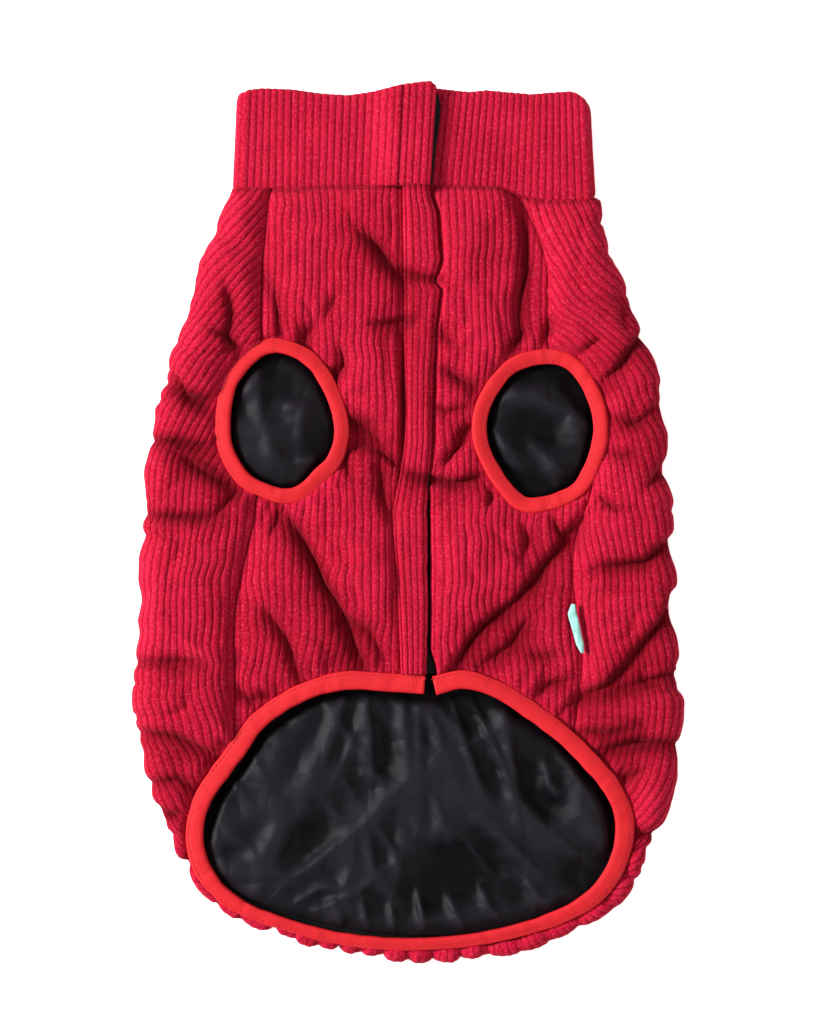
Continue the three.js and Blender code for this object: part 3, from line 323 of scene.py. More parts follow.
# Creases of the corduroy: three points, depth (a ridge where negative), half-width and lean.
# A positive lean makes the side on the left of the crease's direction the steep one.
CREASES = table("x1 y1 x2 y2 x3 y3 depth width lean", [
    (-94, 118, -90, 104, -92, 84, 2.2, 3.8, -0.4),
    (-119, 75, -111, 62, -99, 56, 3.0, 4, 0.8),
    (-136, 41, -116, 40, -98, 36, 2.6, 4, 0.3),
    (-113, 32, -99, 24, -85, 16, 3.2, 4.6, 0.5),
    (-137, 4, -116, 2, -92, 2, 2.9, 4.2, 0.2),
    (-124, -48, -105, -64, -89, -74, -1.6, 6, 0),
    (-139, -70, -115, -70, -89, -74, 2.6, 4.4, 0.4),
    (-138, -105, -116, -108, -94, -120, 2.8, 4.4, 0.6),
    (-134, -132, -116, -129, -105, -136, 2.4, 4, 0.4),
    (-131, -142, -121, -147, -114, -148, 2.2, 3.5, 0.4),
    (-122, -176, -112, -171, -104, -172, 2.0, 3.5, 0),
    (-68, 122, -65, 106, -65, 92, 1.8, 3.6, 0),
    (-25, 148, -14, 134, -2, 118, 3.4, 5, 0.5),
    (-36, 114, -39, 108, -42, 100, 1.3, 3.5, 0),
    (-53, 84, -52, 94, -47, 98, 2.0, 3.5, 0),
    (-41, 68, -39, 72, -33, 76, 1.8, 3.5, 0),
    (-19, 99, -7, 100, 6, 102, 2.4, 3.6, 0.8),
    (-32, 60, -24, 50, -14, 40, 1.4, 5, 0),
    (-33, 52, -24, 47, -13, 38, 2.3, 2.8, 0.6),
    (-29, 36, -24, 38, -18, 36, 2.8, 3.0, 0),
    (-18, 36, -12, 31, -5, 27, 2.8, 2.6, -0.6),
    (-33, 37, -32, 29, -28, 21, 2.0, 2.8, 0),
    (-17, 31, -14, 15, -10, 0, 2.6, 4.6, 0),
    (-3.6, 94, -3.6, 60, -3.6, 27, 2.2, 1.8, 0),
    (-35, 89, -34, 78, -38, 71, 2.6, 3.2, 0.4),
    (-56, 90, -53, 86, -49, 82, 2.0, 2.4, 0),
    (-61, 4, -46, -22, -34, -46, 4.8, 5, 0.9),
    (-34, -46, -28, -62, -21, -76, 4.0, 4.4, 0.8),
    (-33, -48, -19, -56, -10, -74, 2.3, 4, 0.6),
    (-73, -44, -62, -60, -53, -82, 2.8, 4.4, 0.4),
    (-87, -84, -79, -90, -64, -86, 2.2, 4, 0),
    (56, 160, 59, 126, 55, 88, 3.6, 4.4, 0.3),
    (15, 100, 18, 92, 25, 88, 2.0, 4, 0),
    (16, 78, 25, 71, 37, 66, 2.6, 4, 0.4),
    (32, 48, 26, 45, 21, 39, 2.4, 2.4, 0),
    (29, 41, 21, 34, 16, 28, 2.8, 2.6, 0.4),
    (11, 59, 18, 55, 31, 57, 1.8, 2.4, 0),
    (40, 16, 40, 11, 39, 7, 2.2, 2.6, 0),
    (7, 22, 22, 20, 38, 23, 3.4, 3.4, 0.9),
    (48, 84, 52, 90, 60, 96, 1.8, 2.6, 0),
    (66, 88, 70, 96, 72, 104, 1.6, 2.6, 0),
    (84, 82, 90, 88, 97, 92, 1.8, 2.6, 0),
    (-86, 86, -92, 92, -99, 95, 1.8, 2.6, 0),
    (-97, 60, -104, 62, -112, 66, 1.8, 2.6, 0),
    (-84, 16, -90, 10, -97, 4, 1.8, 2.6, 0),
    (-66, 7, -67, 0, -70, -8, 1.8, 2.6, 0),
    (72, 4, 74, -4, 78, -12, 1.8, 2.6, 0),
    (94, 14, 101, 8, 108, 4, 1.8, 2.6, 0),
    (57, 0, 59, -10, 56, -20, 2.0, 3.6, 0),
    (84, -1, 66, -22, 53, -40, 4.6, 4.8, -0.9),
    (53, -40, 36, -52, 20, -76, 4.2, 4.6, -0.9),
    (64, -48, 51, -62, 36, -74, 2.8, 4.2, -0.7),
    (60, -68, 68, -68, 76, -67, 1.8, 3.6, 0),
    (62, -90, 70, -82, 81, -80, 2.4, 4, 0),
    (108, 112, 109, 104, 109, 94, 1.6, 3.6, 0),
    (123, 99, 110, 86, 96, 68, 3.6, 4.4, -0.8),
    (99, 54, 115, 48, 128, 61, 2.6, 4, 0.3),
    (98, 36, 108, 32, 116, 34, 1.9, 3.8, 0),
    (133, 31, 126, 22, 119, 16, 2.3, 3.8, 0),
    (135, -7, 117, -20, 95, -23, 3.7, 4.6, -0.7),
    (136, -34, 126, -50, 110, -68, 4.2, 4.6, -0.8),
    (110, -68, 97, -82, 78, -94, 3.4, 4.6, -0.8),
    (139, -75, 120, -80, 99, -88, 2.8, 4.2, -0.4),
    (83, -105, 98, -107, 116, -102, 2.5, 4, 0),
    (94, -116, 113, -111, 139, -112, 3.6, 4.4, 0.4),
    (104, -129, 111, -128, 120, -124, 1.9, 3.6, 0),
    (110, -156, 119, -158, 128, -158, 2.2, 3.6, 0),
    (-4, 126, 5, 123, 17, 121, 3.2, 2.6, 0.6),
    (-5, 24, 3, 23, 11, 22, 2.4, 3.2, 0.9),
])

# Short gathers of the rolled hem, from the outline in towards the binding
HEM_GATHERS = table("x1 y1 x2 y2 x3 y3 depth width lean", [
    (-118, -176, -111, -172, -106, -170, 2.0, 3.0, 0),
    (-100, -196, -95, -190, -92, -187, 1.4, 2.6, 0),
    (-86, -202, -84, -198, -82, -195, 1.2, 2.6, 0),
    (-71, -211, -69, -206, -67, -202, 2.4, 2.6, 0.5),
    (-58, -214, -57, -209, -56, -206, 1.4, 2.4, 0),
    (-46, -216, -45, -212, -44, -209, 1.6, 2.6, 0),
    (-36, -219, -35, -214, -34, -210, 2.4, 2.4, 0.5),
    (-24, -220, -24, -216, -23, -212, 1.4, 2.4, 0),
    (-13, -222, -13, -217, -12, -213, 2.2, 2.6, -0.4),
    (0, -222, 0, -218, 0, -214, 1.4, 2.4, 0),
    (12, -222, 12, -217, 11, -213, 2.4, 2.6, 0.4),
    (27, -221, 26, -216, 26, -212, 1.4, 2.6, 0),
    (41, -218, 40, -213, 39, -210, 1.6, 2.6, 0),
    (56, -214, 54, -209, 53, -206, 1.8, 2.6, 0),
    (70, -210, 68, -205, 66, -201, 1.4, 2.6, 0),
    (86, -203, 84, -198, 82, -195, 2.0, 2.8, 0),
    (101, -194, 97, -189, 94, -186, 1.6, 2.8, 0),
    (114, -181, 109, -178, 105, -176, 1.8, 3.0, 0),
    (124, -165, 118, -165, 112, -165, 1.8, 3.0, 0),
    (-129, -158, -122, -158, -114, -158, 1.6, 3.0, 0),
])

# Soft mounds between the creases: centre, radii and height
MOUNDS = table("x y rx ry height", [
    (-36, 128, 30, 28, 1.6),
    (-48, 108, 22, 14, 0.8),
    (-20, 80, 16, 18, 0.8),
    (-62, -30, 18, 24, 1.6),
    (-22, -24, 20, 26, 1.8),
    (-50, -70, 16, 14, 1),
    (34, 130, 20, 30, 1.4),
    (26, 58, 12, 10, 0.6),
    (34, -10, 24, 22, 1.8),
    (72, -50, 14, 18, 1.2),
    (30, -40, 14, 14, 0.8),
    (-112, -20, 18, 30, 1.4),
    (-114, -90, 16, 16, 1),
    (112, 0, 16, 14, 1),
    (114, -40, 14, 14, 1.2),
    (116, -96, 16, 12, 1),
])

# Folds of the lining: ridges where negative
LINING_FOLDS = table("x1 y1 x2 y2 x3 y3 depth width lean", [
    (-33, -88, -40, -112, -53, -144, -2.0, 3.6, 0.5),
    (-22, -86, -19, -108, -19, -130, -2.4, 3.0, 0.7),
    (-3, -88, -1, -110, 0, -130, -2.2, 3.6, 0.5),
    (-66, -112, -70, -130, -64, -158, -1.4, 6.0, 0),
    (-95, -173, -73, -170, -60, -135, -1.8, 5.0, 0.4),
    (-97, -176, -76, -178, -56, -177, -1.4, 3.6, 0),
    (-64, -184, -22, -152, 6, -124, -2.8, 4.4, 0.6),
    (-12, -140, 8, -128, 26, -118, -1.8, 4.4, 0.4),
    (-28, -157, -28, -175, -33, -183, -1.8, 3.4, 0),
    (-21, -154, -18, -174, -6, -190, -2.0, 3.4, 0.4),
    (-48, -196, -26, -186, -8, -172, -1.6, 3.0, 0),
    (-58, -192, -44, -184, -30, -184, -1.3, 2.6, 0),
    (6, -92, 14, -104, 18, -116, -1.8, 3.6, 0),
    (47, -90, 50, -110, 55, -140, -2.0, 3.6, 0.4),
    (55, -140, 66, -152, 88, -170, -2.2, 4.4, 0.4),
    (33, -130, 38, -148, 66, -178, -2.2, 3.8, 0.5),
    (13, -138, 18, -152, 23, -164, -1.6, 3.4, 0),
    (22, -128, 27, -136, 32, -146, -1.6, 3.2, 0),
    (80, -134, 90, -148, 102, -166, -1.8, 3.8, 0),
    (68, -120, 70, -132, 76, -140, -1.5, 3.4, 0),
    (20, -190, 24, -198, 28, -206, -1.4, 2.4, 0),
    (36, -184, 40, -194, 48, -202, -1.5, 2.6, 0),
    (58, -180, 64, -188, 72, -194, -1.4, 2.8, 0),
    (4, -186, 6, -196, 8, -206, -1.4, 2.4, 0),
    (-10, -190, -8, -200, -8, -208, -1.4, 2.4, 0),
    (-24, -188, -22, -198, -20, -206, -1.3, 2.4, 0),
    (-38, -190, -36, -196, -34, -203, -1.2, 2.4, 0),
    (-76, 77, -75, 56, -71, 42, -2.2, 4.4, 0.4),
    (-71, 42, -68, 34, -62, 27, -1.6, 3.8, 0),
    (-63, 59, -54, 56, -55, 38, -1.6, 4.4, 0.3),
    (-84, 62, -80, 66, -76, 70, -1.3, 3.4, 0),
    (-58, 30, -50, 30, -45, 33, -1.2, 3.2, 0),
    (48, 62, 64, 62, 80, 54, -2.0, 5.0, 0.4),
    (80, 54, 84, 46, 86, 36, -1.6, 4.6, 0),
    (44, 44, 50, 34, 58, 24, -1.4, 4.4, 0),
    (62, 40, 72, 28, 80, 22, -1.3, 5.0, 0),
])
LINING_SWELL = 1.3  # height of the lining's wide soft folds
LINING_MIDDLE = 3.4  # from the lining's flat height to the middle of its folds
LINING_REACH = 4.1  # the most that they go up or down from there
LINING_SINK = 3.6  # how far it sinks where no fold lifts it
LINING_SHADE = (11.4, 3.2)  # the height at which it is fully lit, and from there to its dark hollows
LINING_RISE = 2.4  # how far the lining rises to its edge
LINING_EDGE = 15.0  # width over which it rises
LINING_INSET = 12.5  # from the side fold to the lining's edge
LINING_HALF = 126.0  # half the width of the lining's grid
LINING_LOW = -210.0  # where the grid begins
LINING_FINE = -70.0  # and up to where it is fine, inside the hem opening
LINING_STEPS = (1.2, 1.1, 1.8, 9.0)  # across, along in the fine part, along elsewhere, and beneath

# A hook strip on the right end of the collar, which shows past the edge of the left end
COLLAR_TAPE = table("y left right", [
    (168.6, 10.3, 11.4),
    (174, 10.6, 11.8),
    (188, 11.4, 13.2),
    (202, 12.3, 15.2),
    (209, 12.8, 15.6),
    (214, 13.2, 14.4),
])
TAPE_FROM = 8.2  # from the strip's left edge to the tape below it
COLLAR_TAPE_ENDS = (168.6, 214.0)
HOOK = 0.2  # height of the hooks
HOOK_GROUND = 0.3  # from the top of the front tape's solid down to its ground
COLLAR_TAPE_Z = (0.1, 0.9)  # underside and top of the collar's tape over the lower collar end

# A small folded tag in the right side seam
LABEL = table("y left right", [
    (-66, 85.6, 87.4),
    (-61.5, 83.2, 87.2),
    (-57.5, 82.2, 86.2),
    (-52.5, 80.8, 85.2),
    (-48, 79.4, 84.2),
    (-46, 79.2, 83.6),
    (-41.5, 80.8, 82.8),
])
LABEL_RISE = 2.6  # from the top of the belly to the tag
LABEL_ENDS = (-66.0, -41.5)
LABEL_Z = (0.2, 0.9, 0.6)  # its underside, its edge and how much its middle stands up

# The collar
COLLAR_WALL = 5.0
COLLAR_STEP = 5.4  # from one layer to the next
COLLAR_FOLD = (-89.0, 92.5)  # outer faces of its two folds
COLLAR_ENDS = (10.5, -2.0)  # where the left and the right end stop, at the seam
NECK_LAP = 1.6  # how far the collar comes down over the neck seam
COLLAR_LEAN = (3.2, 7.0)  # how far the ends lean to the right at the top edge
COLLAR_HEIGHT = 45.0  # along the pattern
STITCH_INSET = 15.6  # from the left end to its stitched line
STITCH_TOP = 0.86  # share of the height at which that line turns along the top edge
EDGE_RIB = 1.1  # how far the grooves notch the top edge, against their depth
STITCH_GROOVE = 0.9  # depth of the stitched line in the pile
EDGE_THIN = 0.45  # share of its thickness at the ends and the top edge
COLLAR_WAVE = 0.5  # height of its soft waves
SEAM_SHADE = (3.6, 1.3)  # painted shadow on the pile under the collar's edge: how dark, and how far from it

# The front strip's pattern
STRIP_WIDTH = 18.0
STRIP_RIBS = 5
STRIP_STITCH = 2.0  # from its left edge to its stitched line
STRIP_CREASE = 3.2  # the deepest crease in it
STRIP_GROOVE = 0.8  # depth of its stitched line

# The stage, in metres
CAMERA_HEIGHT = 1.6
COAT_LEVEL = 0.016  # the height at which the picture's scale holds
CAMERA_Y = 0.0045  # the coat's middle in the picture
FLOOR_HALF = 4.0
FLOOR_Z = -0.0004
FLOOR_GREY = 0.93
FLOOR_GLOW = 0.62
WORLD_LIGHT = 0.33
LAMPS = (  # name, place, width and power
    ("key", (-3.6, 0.7, 2.0), 1.3, 340),
    ("fill", (1.6, -0.6, 2.2), 1.8, 20),
)


def size(name):
    """One of the coat's sizes in millimetres."""
    return getattr(bpy.context.scene.coat_sizes, name) / MM


def colour(name):
    """One of the coat's colours, with alpha."""
    return (*getattr(bpy.context.scene.coat_colours, name), 1.0)


def clamp(t):
    return np.clip(t, 0.0, 1.0)


def mix(a, b, t):
    return a + (b - a) * t


def smooth(low, high, t):
    """0 below low, 1 above high, and a soft step between."""
    s = clamp((t - low) / (high - low))
    return s * s * (3 - 2 * s)


def swell(t):
    """0 at an edge, and 1 past a soft shoulder."""
    return np.sqrt(1 - (1 - clamp(t)) ** 2)


def shoulder(t):
    """0 at an edge, and 1 past a slope that eases off."""
    return 1 - (1 - clamp(t)) ** 2.2


def read(rows, key, value, column):
    """A column of a table at a value of its key column."""
    order = np.argsort(rows[key])
    return np.interp(value, rows[key][order], rows[column][order])


def lumps(x, y, scale, seed):
    """Soft random hills from -1 to 1, about scale apart."""
    heights = np.random.default_rng(seed).uniform(-1, 1, (64, 64))
    s, t = x / scale + 300.0, y / scale + 300.0
    i, j = np.floor(s).astype(int), np.floor(t).astype(int)
    f, g = smooth(0, 1, s - i), smooth(0, 1, t - j)
    at = lambda a, b: heights[(i + a) % 64, (j + b) % 64]
    return mix(mix(at(0, 0), at(1, 0), f), mix(at(0, 1), at(1, 1), f), g)


def curve_points(points, closed, each=24):
    """Close points on a centripetal Catmull-Rom curve."""
    points = np.asarray(points, float)
    count = len(points)
    if closed:
        ring = points[np.arange(-1, count + 2) % count]
    else:
        ring = np.vstack([2 * points[0] - points[1], points, 2 * points[-1] - points[-2]])
    p0, p1, p2, p3 = (ring[i:len(ring) - 3 + i] for i in range(4))
    chord = lambda a, b: np.maximum(np.linalg.norm(b - a, axis=1, keepdims=True) ** 0.5, 1e-4)
    d0, d1, d2 = chord(p0, p1), chord(p1, p2), chord(p2, p3)
    m1 = ((p1 - p0) / d0 - (p2 - p0) / (d0 + d1) + (p2 - p1) / d1) * d1
    m2 = ((p2 - p1) / d1 - (p3 - p1) / (d1 + d2) + (p3 - p2) / d2) * d1
    t = np.linspace(0, 1, each, endpoint=False)[None, :, None]
    a, b, c, d = (v[:, None, :] for v in (p1, m1, p2, m2))
    made = a + b * t + (3 * c - 3 * a - 2 * b - d) * t**2 + (2 * a - 2 * c + b + d) * t**3
    made = made.reshape(-1, points.shape[1])
    return made if closed else np.vstack([made, points[-1]])


def spaced(points, closed, step):
    """Points a step apart along a smooth curve."""
    dense = curve_points(points, closed)
    if closed:
        dense = np.vstack([dense, dense[0]])
    lengths = np.concatenate([[0], np.cumsum(np.linalg.norm(np.diff(dense, axis=0), axis=1))])
    count = max(round(lengths[-1] / step), 2)
    marks = np.linspace(0, lengths[-1], count + 1)
    made = np.stack([np.interp(marks, lengths, dense[:, k]) for k in range(dense.shape[1])], axis=1)
    return made[:-1] if closed else made


class Line:
    """A line in plan, closed by its last stretch."""

    def __init__(self, points):
        self.a = np.asarray(points, float)
        self.d = np.roll(self.a, -1, axis=0) - self.a
        self.square = (self.d**2).sum(1)
        lengths = np.sqrt(self.square)
        self.start = np.cumsum(lengths) - lengths
        self.lengths = lengths

    def nearest(self, x, y):
        """The nearest point, the distance outside the line, and the length along it."""
        shape = np.shape(x)
        x, y = np.ravel(x), np.ravel(y)
        parts = [self._nearest(x[i:i + 3000], y[i:i + 3000]) for i in range(0, len(x), 3000)]
        return [np.concatenate(p).reshape(shape) for p in zip(*parts)]

    def _nearest(self, x, y):
        dx, dy = x[:, None] - self.a[:, 0], y[:, None] - self.a[:, 1]
        t = clamp((dx * self.d[:, 0] + dy * self.d[:, 1]) / self.square)
        away = (dx - self.d[:, 0] * t) ** 2 + (dy - self.d[:, 1] * t) ** 2
        best = away.argmin(1)
        rows = np.arange(len(x))
        foot = self.a[best] + self.d[best] * t[rows, best][:, None]
        above = self.a[:, 1] > y[:, None]
        next_above = np.roll(above, -1, axis=1)
        with np.errstate(divide="ignore", invalid="ignore"):
            meets = self.d[:, 0] * dy / self.d[:, 1] + self.a[:, 0]
        inside = ((above != next_above) & (x[:, None] < meets)).sum(1) % 2 == 1
        out = np.sqrt(away[rows, best]) * np.where(inside, -1, 1)
        return foot[:, 0], foot[:, 1], out, self.start[best] + t[rows, best] * self.lengths[best]


def plan(rows, column):
    return np.stack([rows[column], rows["y"]], axis=1)


def middle_line(rows):
    return np.stack([rows["x"], rows["y"]], axis=1)


BODY_LINE = Line(spaced(np.vstack([plan(BODY, "left"), plan(BODY, "right")[::-1]]), True, 2.5))
BELT_LINE = Line(np.vstack([
    spaced(plan(SEAMS, "left"), False, 3),
    spaced(plan(SEAMS, "right")[::-1], False, 3),
]))
LEG_LINES = [Line(spaced(middle_line(rows), True, 1.5)) for rows in (LEG_LEFT, LEG_RIGHT)]
HEM_LINE = Line(spaced(middle_line(HEM), False, 2.5))


def neck_line(x):
    return read(NECK, "x", x, "y")


def nearest_row(rows, x, y, column):
    """A value of a binding's table, weighed by how near its rows are."""
    away = (rows["x"] - np.ravel(x)[:, None]) ** 2 + (rows["y"] - np.ravel(y)[:, None]) ** 2
    weight = 1 / (1 + away) ** 2
    return ((weight * rows[column]).sum(1) / weight.sum(1)).reshape(np.shape(x))


def bindings(x, y):
    """The distance outside the nearest binding, and the height of the gathers beside it."""
    found = []
    for line in LEG_LINES:
        _, _, out, along = line.nearest(x, y)
        found.append((out - LEG_WIDTH / 2, along))
    _, _, out, along = HEM_LINE.nearest(x, y)
    found.append((out - nearest_row(HEM, x, y, "width") / 2, along + 1000))
    outs = np.stack([f[0] for f in found])
    best = outs.argmin(0)
    out = np.take_along_axis(outs, best[None], 0)[0]
    along = np.take_along_axis(np.stack([f[1] for f in found]), best[None], 0)[0]
    beat = lumps(along, best * 50.0, 3.4, 5) + 0.6 * lumps(along, best * 50.0, 7.5, 6)
    return out, PUCKER * beat * np.exp(-np.maximum(out, 0) / PUCKER_REACH)


def crease_field(rows, x, y):
    """Depth of the creases at points in plan, and how far they draw the cloth in x and y."""
    depth, pull_x, pull_y = np.zeros_like(x), np.zeros_like(x), np.zeros_like(x)
    for row in (dict(zip(rows, values)) for values in zip(*rows.values())):
        reach = CREASE_REACH * row["width"] * (1 + LEAN_SOFT * abs(row["lean"]))
        xs = [row["x1"], row["x2"], row["x3"]]
        ys = [row["y1"], row["y2"], row["y3"]]
        near = (x > min(xs) - reach) & (x < max(xs) + reach) & (y > min(ys) - reach) & (y < max(ys) + reach)
        px, py = x[near], y[near]
        if not len(px):
            continue
        best = np.full(px.shape, np.inf)
        along, away_x, away_y, side = (np.zeros_like(px) for _ in range(4))
        for k in (0, 1):
            dx, dy = xs[k + 1] - xs[k], ys[k + 1] - ys[k]
            t = clamp(((px - xs[k]) * dx + (py - ys[k]) * dy) / (dx**2 + dy**2))
            ax, ay = px - xs[k] - dx * t, py - ys[k] - dy * t
            away = np.hypot(ax, ay)
            nearer = away < best
            best = np.where(nearer, away, best)
            along = np.where(nearer, (k + t) / 2, along)
            away_x, away_y = np.where(nearer, ax, away_x), np.where(nearer, ay, away_y)
            side = np.where(nearer, np.sign(dx * ay - dy * ax), side)
        across = smooth(-1, 1, np.clip(side * best, -1, 1)) * 2 - 1
        steep = across * row["lean"]
        half = row["width"] * (1 - np.where(steep > 0, LEAN_STEEP, LEAN_SOFT) * steep)
        r = best / half
        ease = mix(CREASE_ENDS, 1, np.sin(along * np.pi))
        height = row["depth"] * ease
        peak = np.abs(FOLD_GAIN * height) + 1e-9
        held = FOLD_LIMIT * np.tanh(peak / FOLD_LIMIT) / peak
        tight = r / (0.5 + 0.5 * held)
        section = CREASE_ROUND * np.exp(-tight**2) + CREASE_TAIL[0] * np.exp(-tight / CREASE_TAIL[1])
        depth[near] += FOLD_GAIN * height * held * section
        draw = PULL * abs(row["depth"]) * ease * np.exp(-0.5 * r**2) / half
        pull_x[near] -= away_x * draw
        pull_y[near] -= away_y * draw
    return depth, pull_x, pull_y


def mound_height(x, y):
    made = np.zeros_like(x)
    for row in zip(*MOUNDS.values()):
        made += MOUND_GAIN * row[4] * np.exp(-(((x - row[0]) / row[2]) ** 2) - ((y - row[1]) / row[3]) ** 2)
    return made


def rib(u, v):
    """A corduroy rib: a round crest and a narrow groove, with slightly uneven pile."""
    turn = u / size("wale")
    across = 2 * np.abs(turn - np.round(turn))
    uneven = 1 + RIB_UNEVEN * lumps(np.round(turn) * 9.0, v, 5.0, 3)
    return size("rib") * (1 - across**RIB_FLAT) * uneven


def wadding(x, y):
    """Soft lumps of the wadding."""
    return PUFF + LUMP * (lumps(x, y, 21, 1) + 0.75 * lumps(x, y * 1.3, 10.5, 2) + 0.3 * lumps(x, y, 5, 4))


def crumple(x, y):
    """Sharp shallow valleys, which run across the coat on its sides."""
    sides = smooth(80, 100, np.abs(x))
    across = np.maximum(0, 1 - 2.4 * np.abs(lumps(x * 0.4, y, 13, 18))) ** 2
    other = np.maximum(0, 1 - 2.4 * np.abs(lumps(x, y * 0.8 + x * 0.4, 19, 19))) ** 2
    return mix(0.9 * other, 1.7 * across, sides)


def wander(x, y):
    """How far the ribs lie to one side of their straight course."""
    return WANDER * (lumps(x * 0.8, y, 27, 15) + 0.45 * lumps(x * 0.6, y, 10, 16))


def quarter(a, b):
    return (math.pi / 2) * np.sqrt((a * a + b * b) / 2)


def wrapped(u, v):
    """The back panel's pattern laid over the side fold: place, outward direction and distance out."""
    foot_x, foot_y, out, _ = BODY_LINE.nearest(u, v)
    side = read(FOLD, "y", foot_y, "height") / 2
    reach = np.where(out > 0, read(FOLD, "y", foot_y, "top"), read(FOLD, "y", foot_y, "under"))
    length = quarter(reach, side)
    turn = clamp(np.abs(out) / length) * math.pi / 2
    past = np.maximum(np.abs(out) - length, 0)
    inward = reach * (1 - np.cos(turn)) + past
    safe = np.where(np.abs(out) < 1e-6, 1e-6, out)
    nx, ny = (u - foot_x) / safe, (v - foot_y) / safe
    tilt = np.hypot(side * np.cos(turn), reach * np.sin(turn))
    level, up = side * np.cos(turn) / tilt, reach * np.sin(turn) / tilt
    z = np.where(out > 0, side + side * np.sin(turn) - TOP_SLOPE * past, side - side * np.sin(turn))
    place = np.stack([foot_x - nx * inward, foot_y - ny * inward, z], axis=-1)
    outward = np.stack([nx * level, ny * level, np.where(out > 0, up, -up)], axis=-1)
    return place, outward, out


def outside_belly(x, y):
    return BELT_LINE.nearest(x, y)[2]


def back_surface(u, v, inside):
    """A point of the back panel from its place in the pattern."""
    place, outward, out = wrapped(u, v)
    x, y = place[..., 0], place[..., 1]
    bound, gathers = bindings(x, y)
    front = np.maximum(np.minimum(outside_belly(x, y) - SEAM_GAP, bound - GAP), 0) + np.maximum(-out, 0)
    neck = mix(neck_line(x), NECK_BACK, clamp(-out / NECK_TURN)) - y
    soft = shoulder(np.minimum(front, neck + 1) / SEAM_SOFT)
    hem = smooth(-192, -208, y)
    over = smooth(*FOLDS_FROM, out)
    depth, pull_x, pull_y = crease_field(CREASES, x, y)
    hem_depth, hem_x, hem_y = crease_field(HEM_GATHERS, x, y)
    folds = over * (depth + hem_depth - mound_height(x, y) - (wadding(x, y) - crumple(x, y)) * soft)
    dip = SEAM_DIP * (1 - soft) * smooth(*DIP_FROM, out)
    thick = mix(SEAM_WALL, size("wall"), smooth(*THIN_WITHIN, front))
    if inside:
        lift = -dip - thick - INSIDE_SHARE * folds
    else:
        pile = rib(u, v) * smooth(0, RIB_FADE, front) * (1 - 0.55 * hem)
        bunched = HEM_LUMP * hem * (lumps(x, y, 11, 24) + 0.6 * lumps(x, y, 5.5, 25))
        gathers *= smooth(0, 4, out) * smooth(0, 3, bound) * (1 - 0.6 * hem)
        lift = (pile + bunched + gathers) * over - dip - folds
    made = place + outward * lift[..., None]
    fade = smooth(0, PULL_FADE, front) * over
    made[..., 0] += (pull_x + hem_x + wander(x, y) * (not inside)) * fade
    made[..., 1] += (pull_y + hem_y) * fade
    if not inside:
        made[..., 2] = np.maximum(made[..., 2], 0)
    return made


def back_keep(u, v, inside):
    """How far inside its edges a point of the back panel's pattern lies."""
    place, outward, out = wrapped(u, v)
    x, y = place[..., 0], place[..., 1]
    neck = mix(neck_line(x), NECK_BACK, clamp(-out / NECK_TURN)) - GAP
    trim = INNER_EDGE if inside else 0
    z = place[..., 2] - (outward[..., 2] * size("wall") if inside else 0)
    on_front = (out > 0) | (z > LINING_Z[1] + GAP / 2)
    beside = np.minimum(outside_belly(x, y) - SEAM_GAP, bindings(x, y)[0] + TUCK) - trim
    front = np.where(on_front, np.minimum(beside, REACH - out), FLAT_EDGE)
    return np.minimum(np.minimum(out + FLAT_EDGE, front), neck - y)


def largest_patch(triangles, count):
    """The largest connected set of triangles."""
    label = np.arange(count)
    while True:
        low = label[triangles].min(1)
        fresh = label.copy()
        for k in range(3):
            np.minimum.at(fresh, triangles[:, k], low)
        fresh = fresh[fresh]
        if (fresh == label).all():
            break
        label = fresh
    names, counts = np.unique(label[triangles[:, 0]], return_counts=True)
    return triangles[label[triangles[:, 0]] == names[counts.argmax()]]


def trimmed_grid(columns, rows, keep):
    """The part of a grid where keep is positive, cut off smoothly at its edge."""
    u, v = np.meshgrid(columns, rows)
    value = keep(u, v)
    kept = value > 0
    corner = np.full(u.shape, -1)
    corner[kept] = np.arange(kept.sum())
    points = [np.stack([u[kept], v[kept]], axis=1)]
    total = len(points[0])
    crossing = []
    for axis in (1, 0):
        first, second = (slice(None), slice(-1)), (slice(None), slice(1, None))
        if axis == 0:
            first, second = first[::-1], second[::-1]
        crossed = kept[first] != kept[second]
        a, b = value[first][crossed], value[second][crossed]
        t = np.clip(a / (a - b), 0.04, 0.96)
        here = np.stack([u[first][crossed], v[first][crossed]], axis=1)
        there = np.stack([u[second][crossed], v[second][crossed]], axis=1)
        ids = np.full(crossed.shape, -1)
        ids[crossed] = total + np.arange(len(t))
        points.append(mix(here, there, t[:, None]))
        total += len(t)
        crossing.append(ids)
    flat, upright = crossing
    whole = kept[:-1, :-1] & kept[:-1, 1:] & kept[1:, :-1] & kept[1:, 1:]
    a, b = corner[:-1, :-1][whole], corner[:-1, 1:][whole]
    c, d = corner[1:, 1:][whole], corner[1:, :-1][whole]
    triangles = [np.stack([a, b, c], axis=1), np.stack([a, c, d], axis=1)]
    touched = kept[:-1, :-1] | kept[:-1, 1:] | kept[1:, :-1] | kept[1:, 1:]
    cut = []
    for j, i in np.argwhere(touched & ~whole):
        ring = [
            (corner[j, i], flat[j, i]),
            (corner[j, i + 1], upright[j, i + 1]),
            (corner[j + 1, i + 1], flat[j + 1, i]),
            (corner[j + 1, i], upright[j, i]),
        ]
        ids = [k for pair in ring for k in pair if k >= 0]
        cut += [(ids[0], ids[k], ids[k + 1]) for k in range(1, len(ids) - 1)]
    triangles.append(np.array(cut, int).reshape(-1, 3))
    return np.vstack(points), largest_patch(np.vstack(triangles), total)


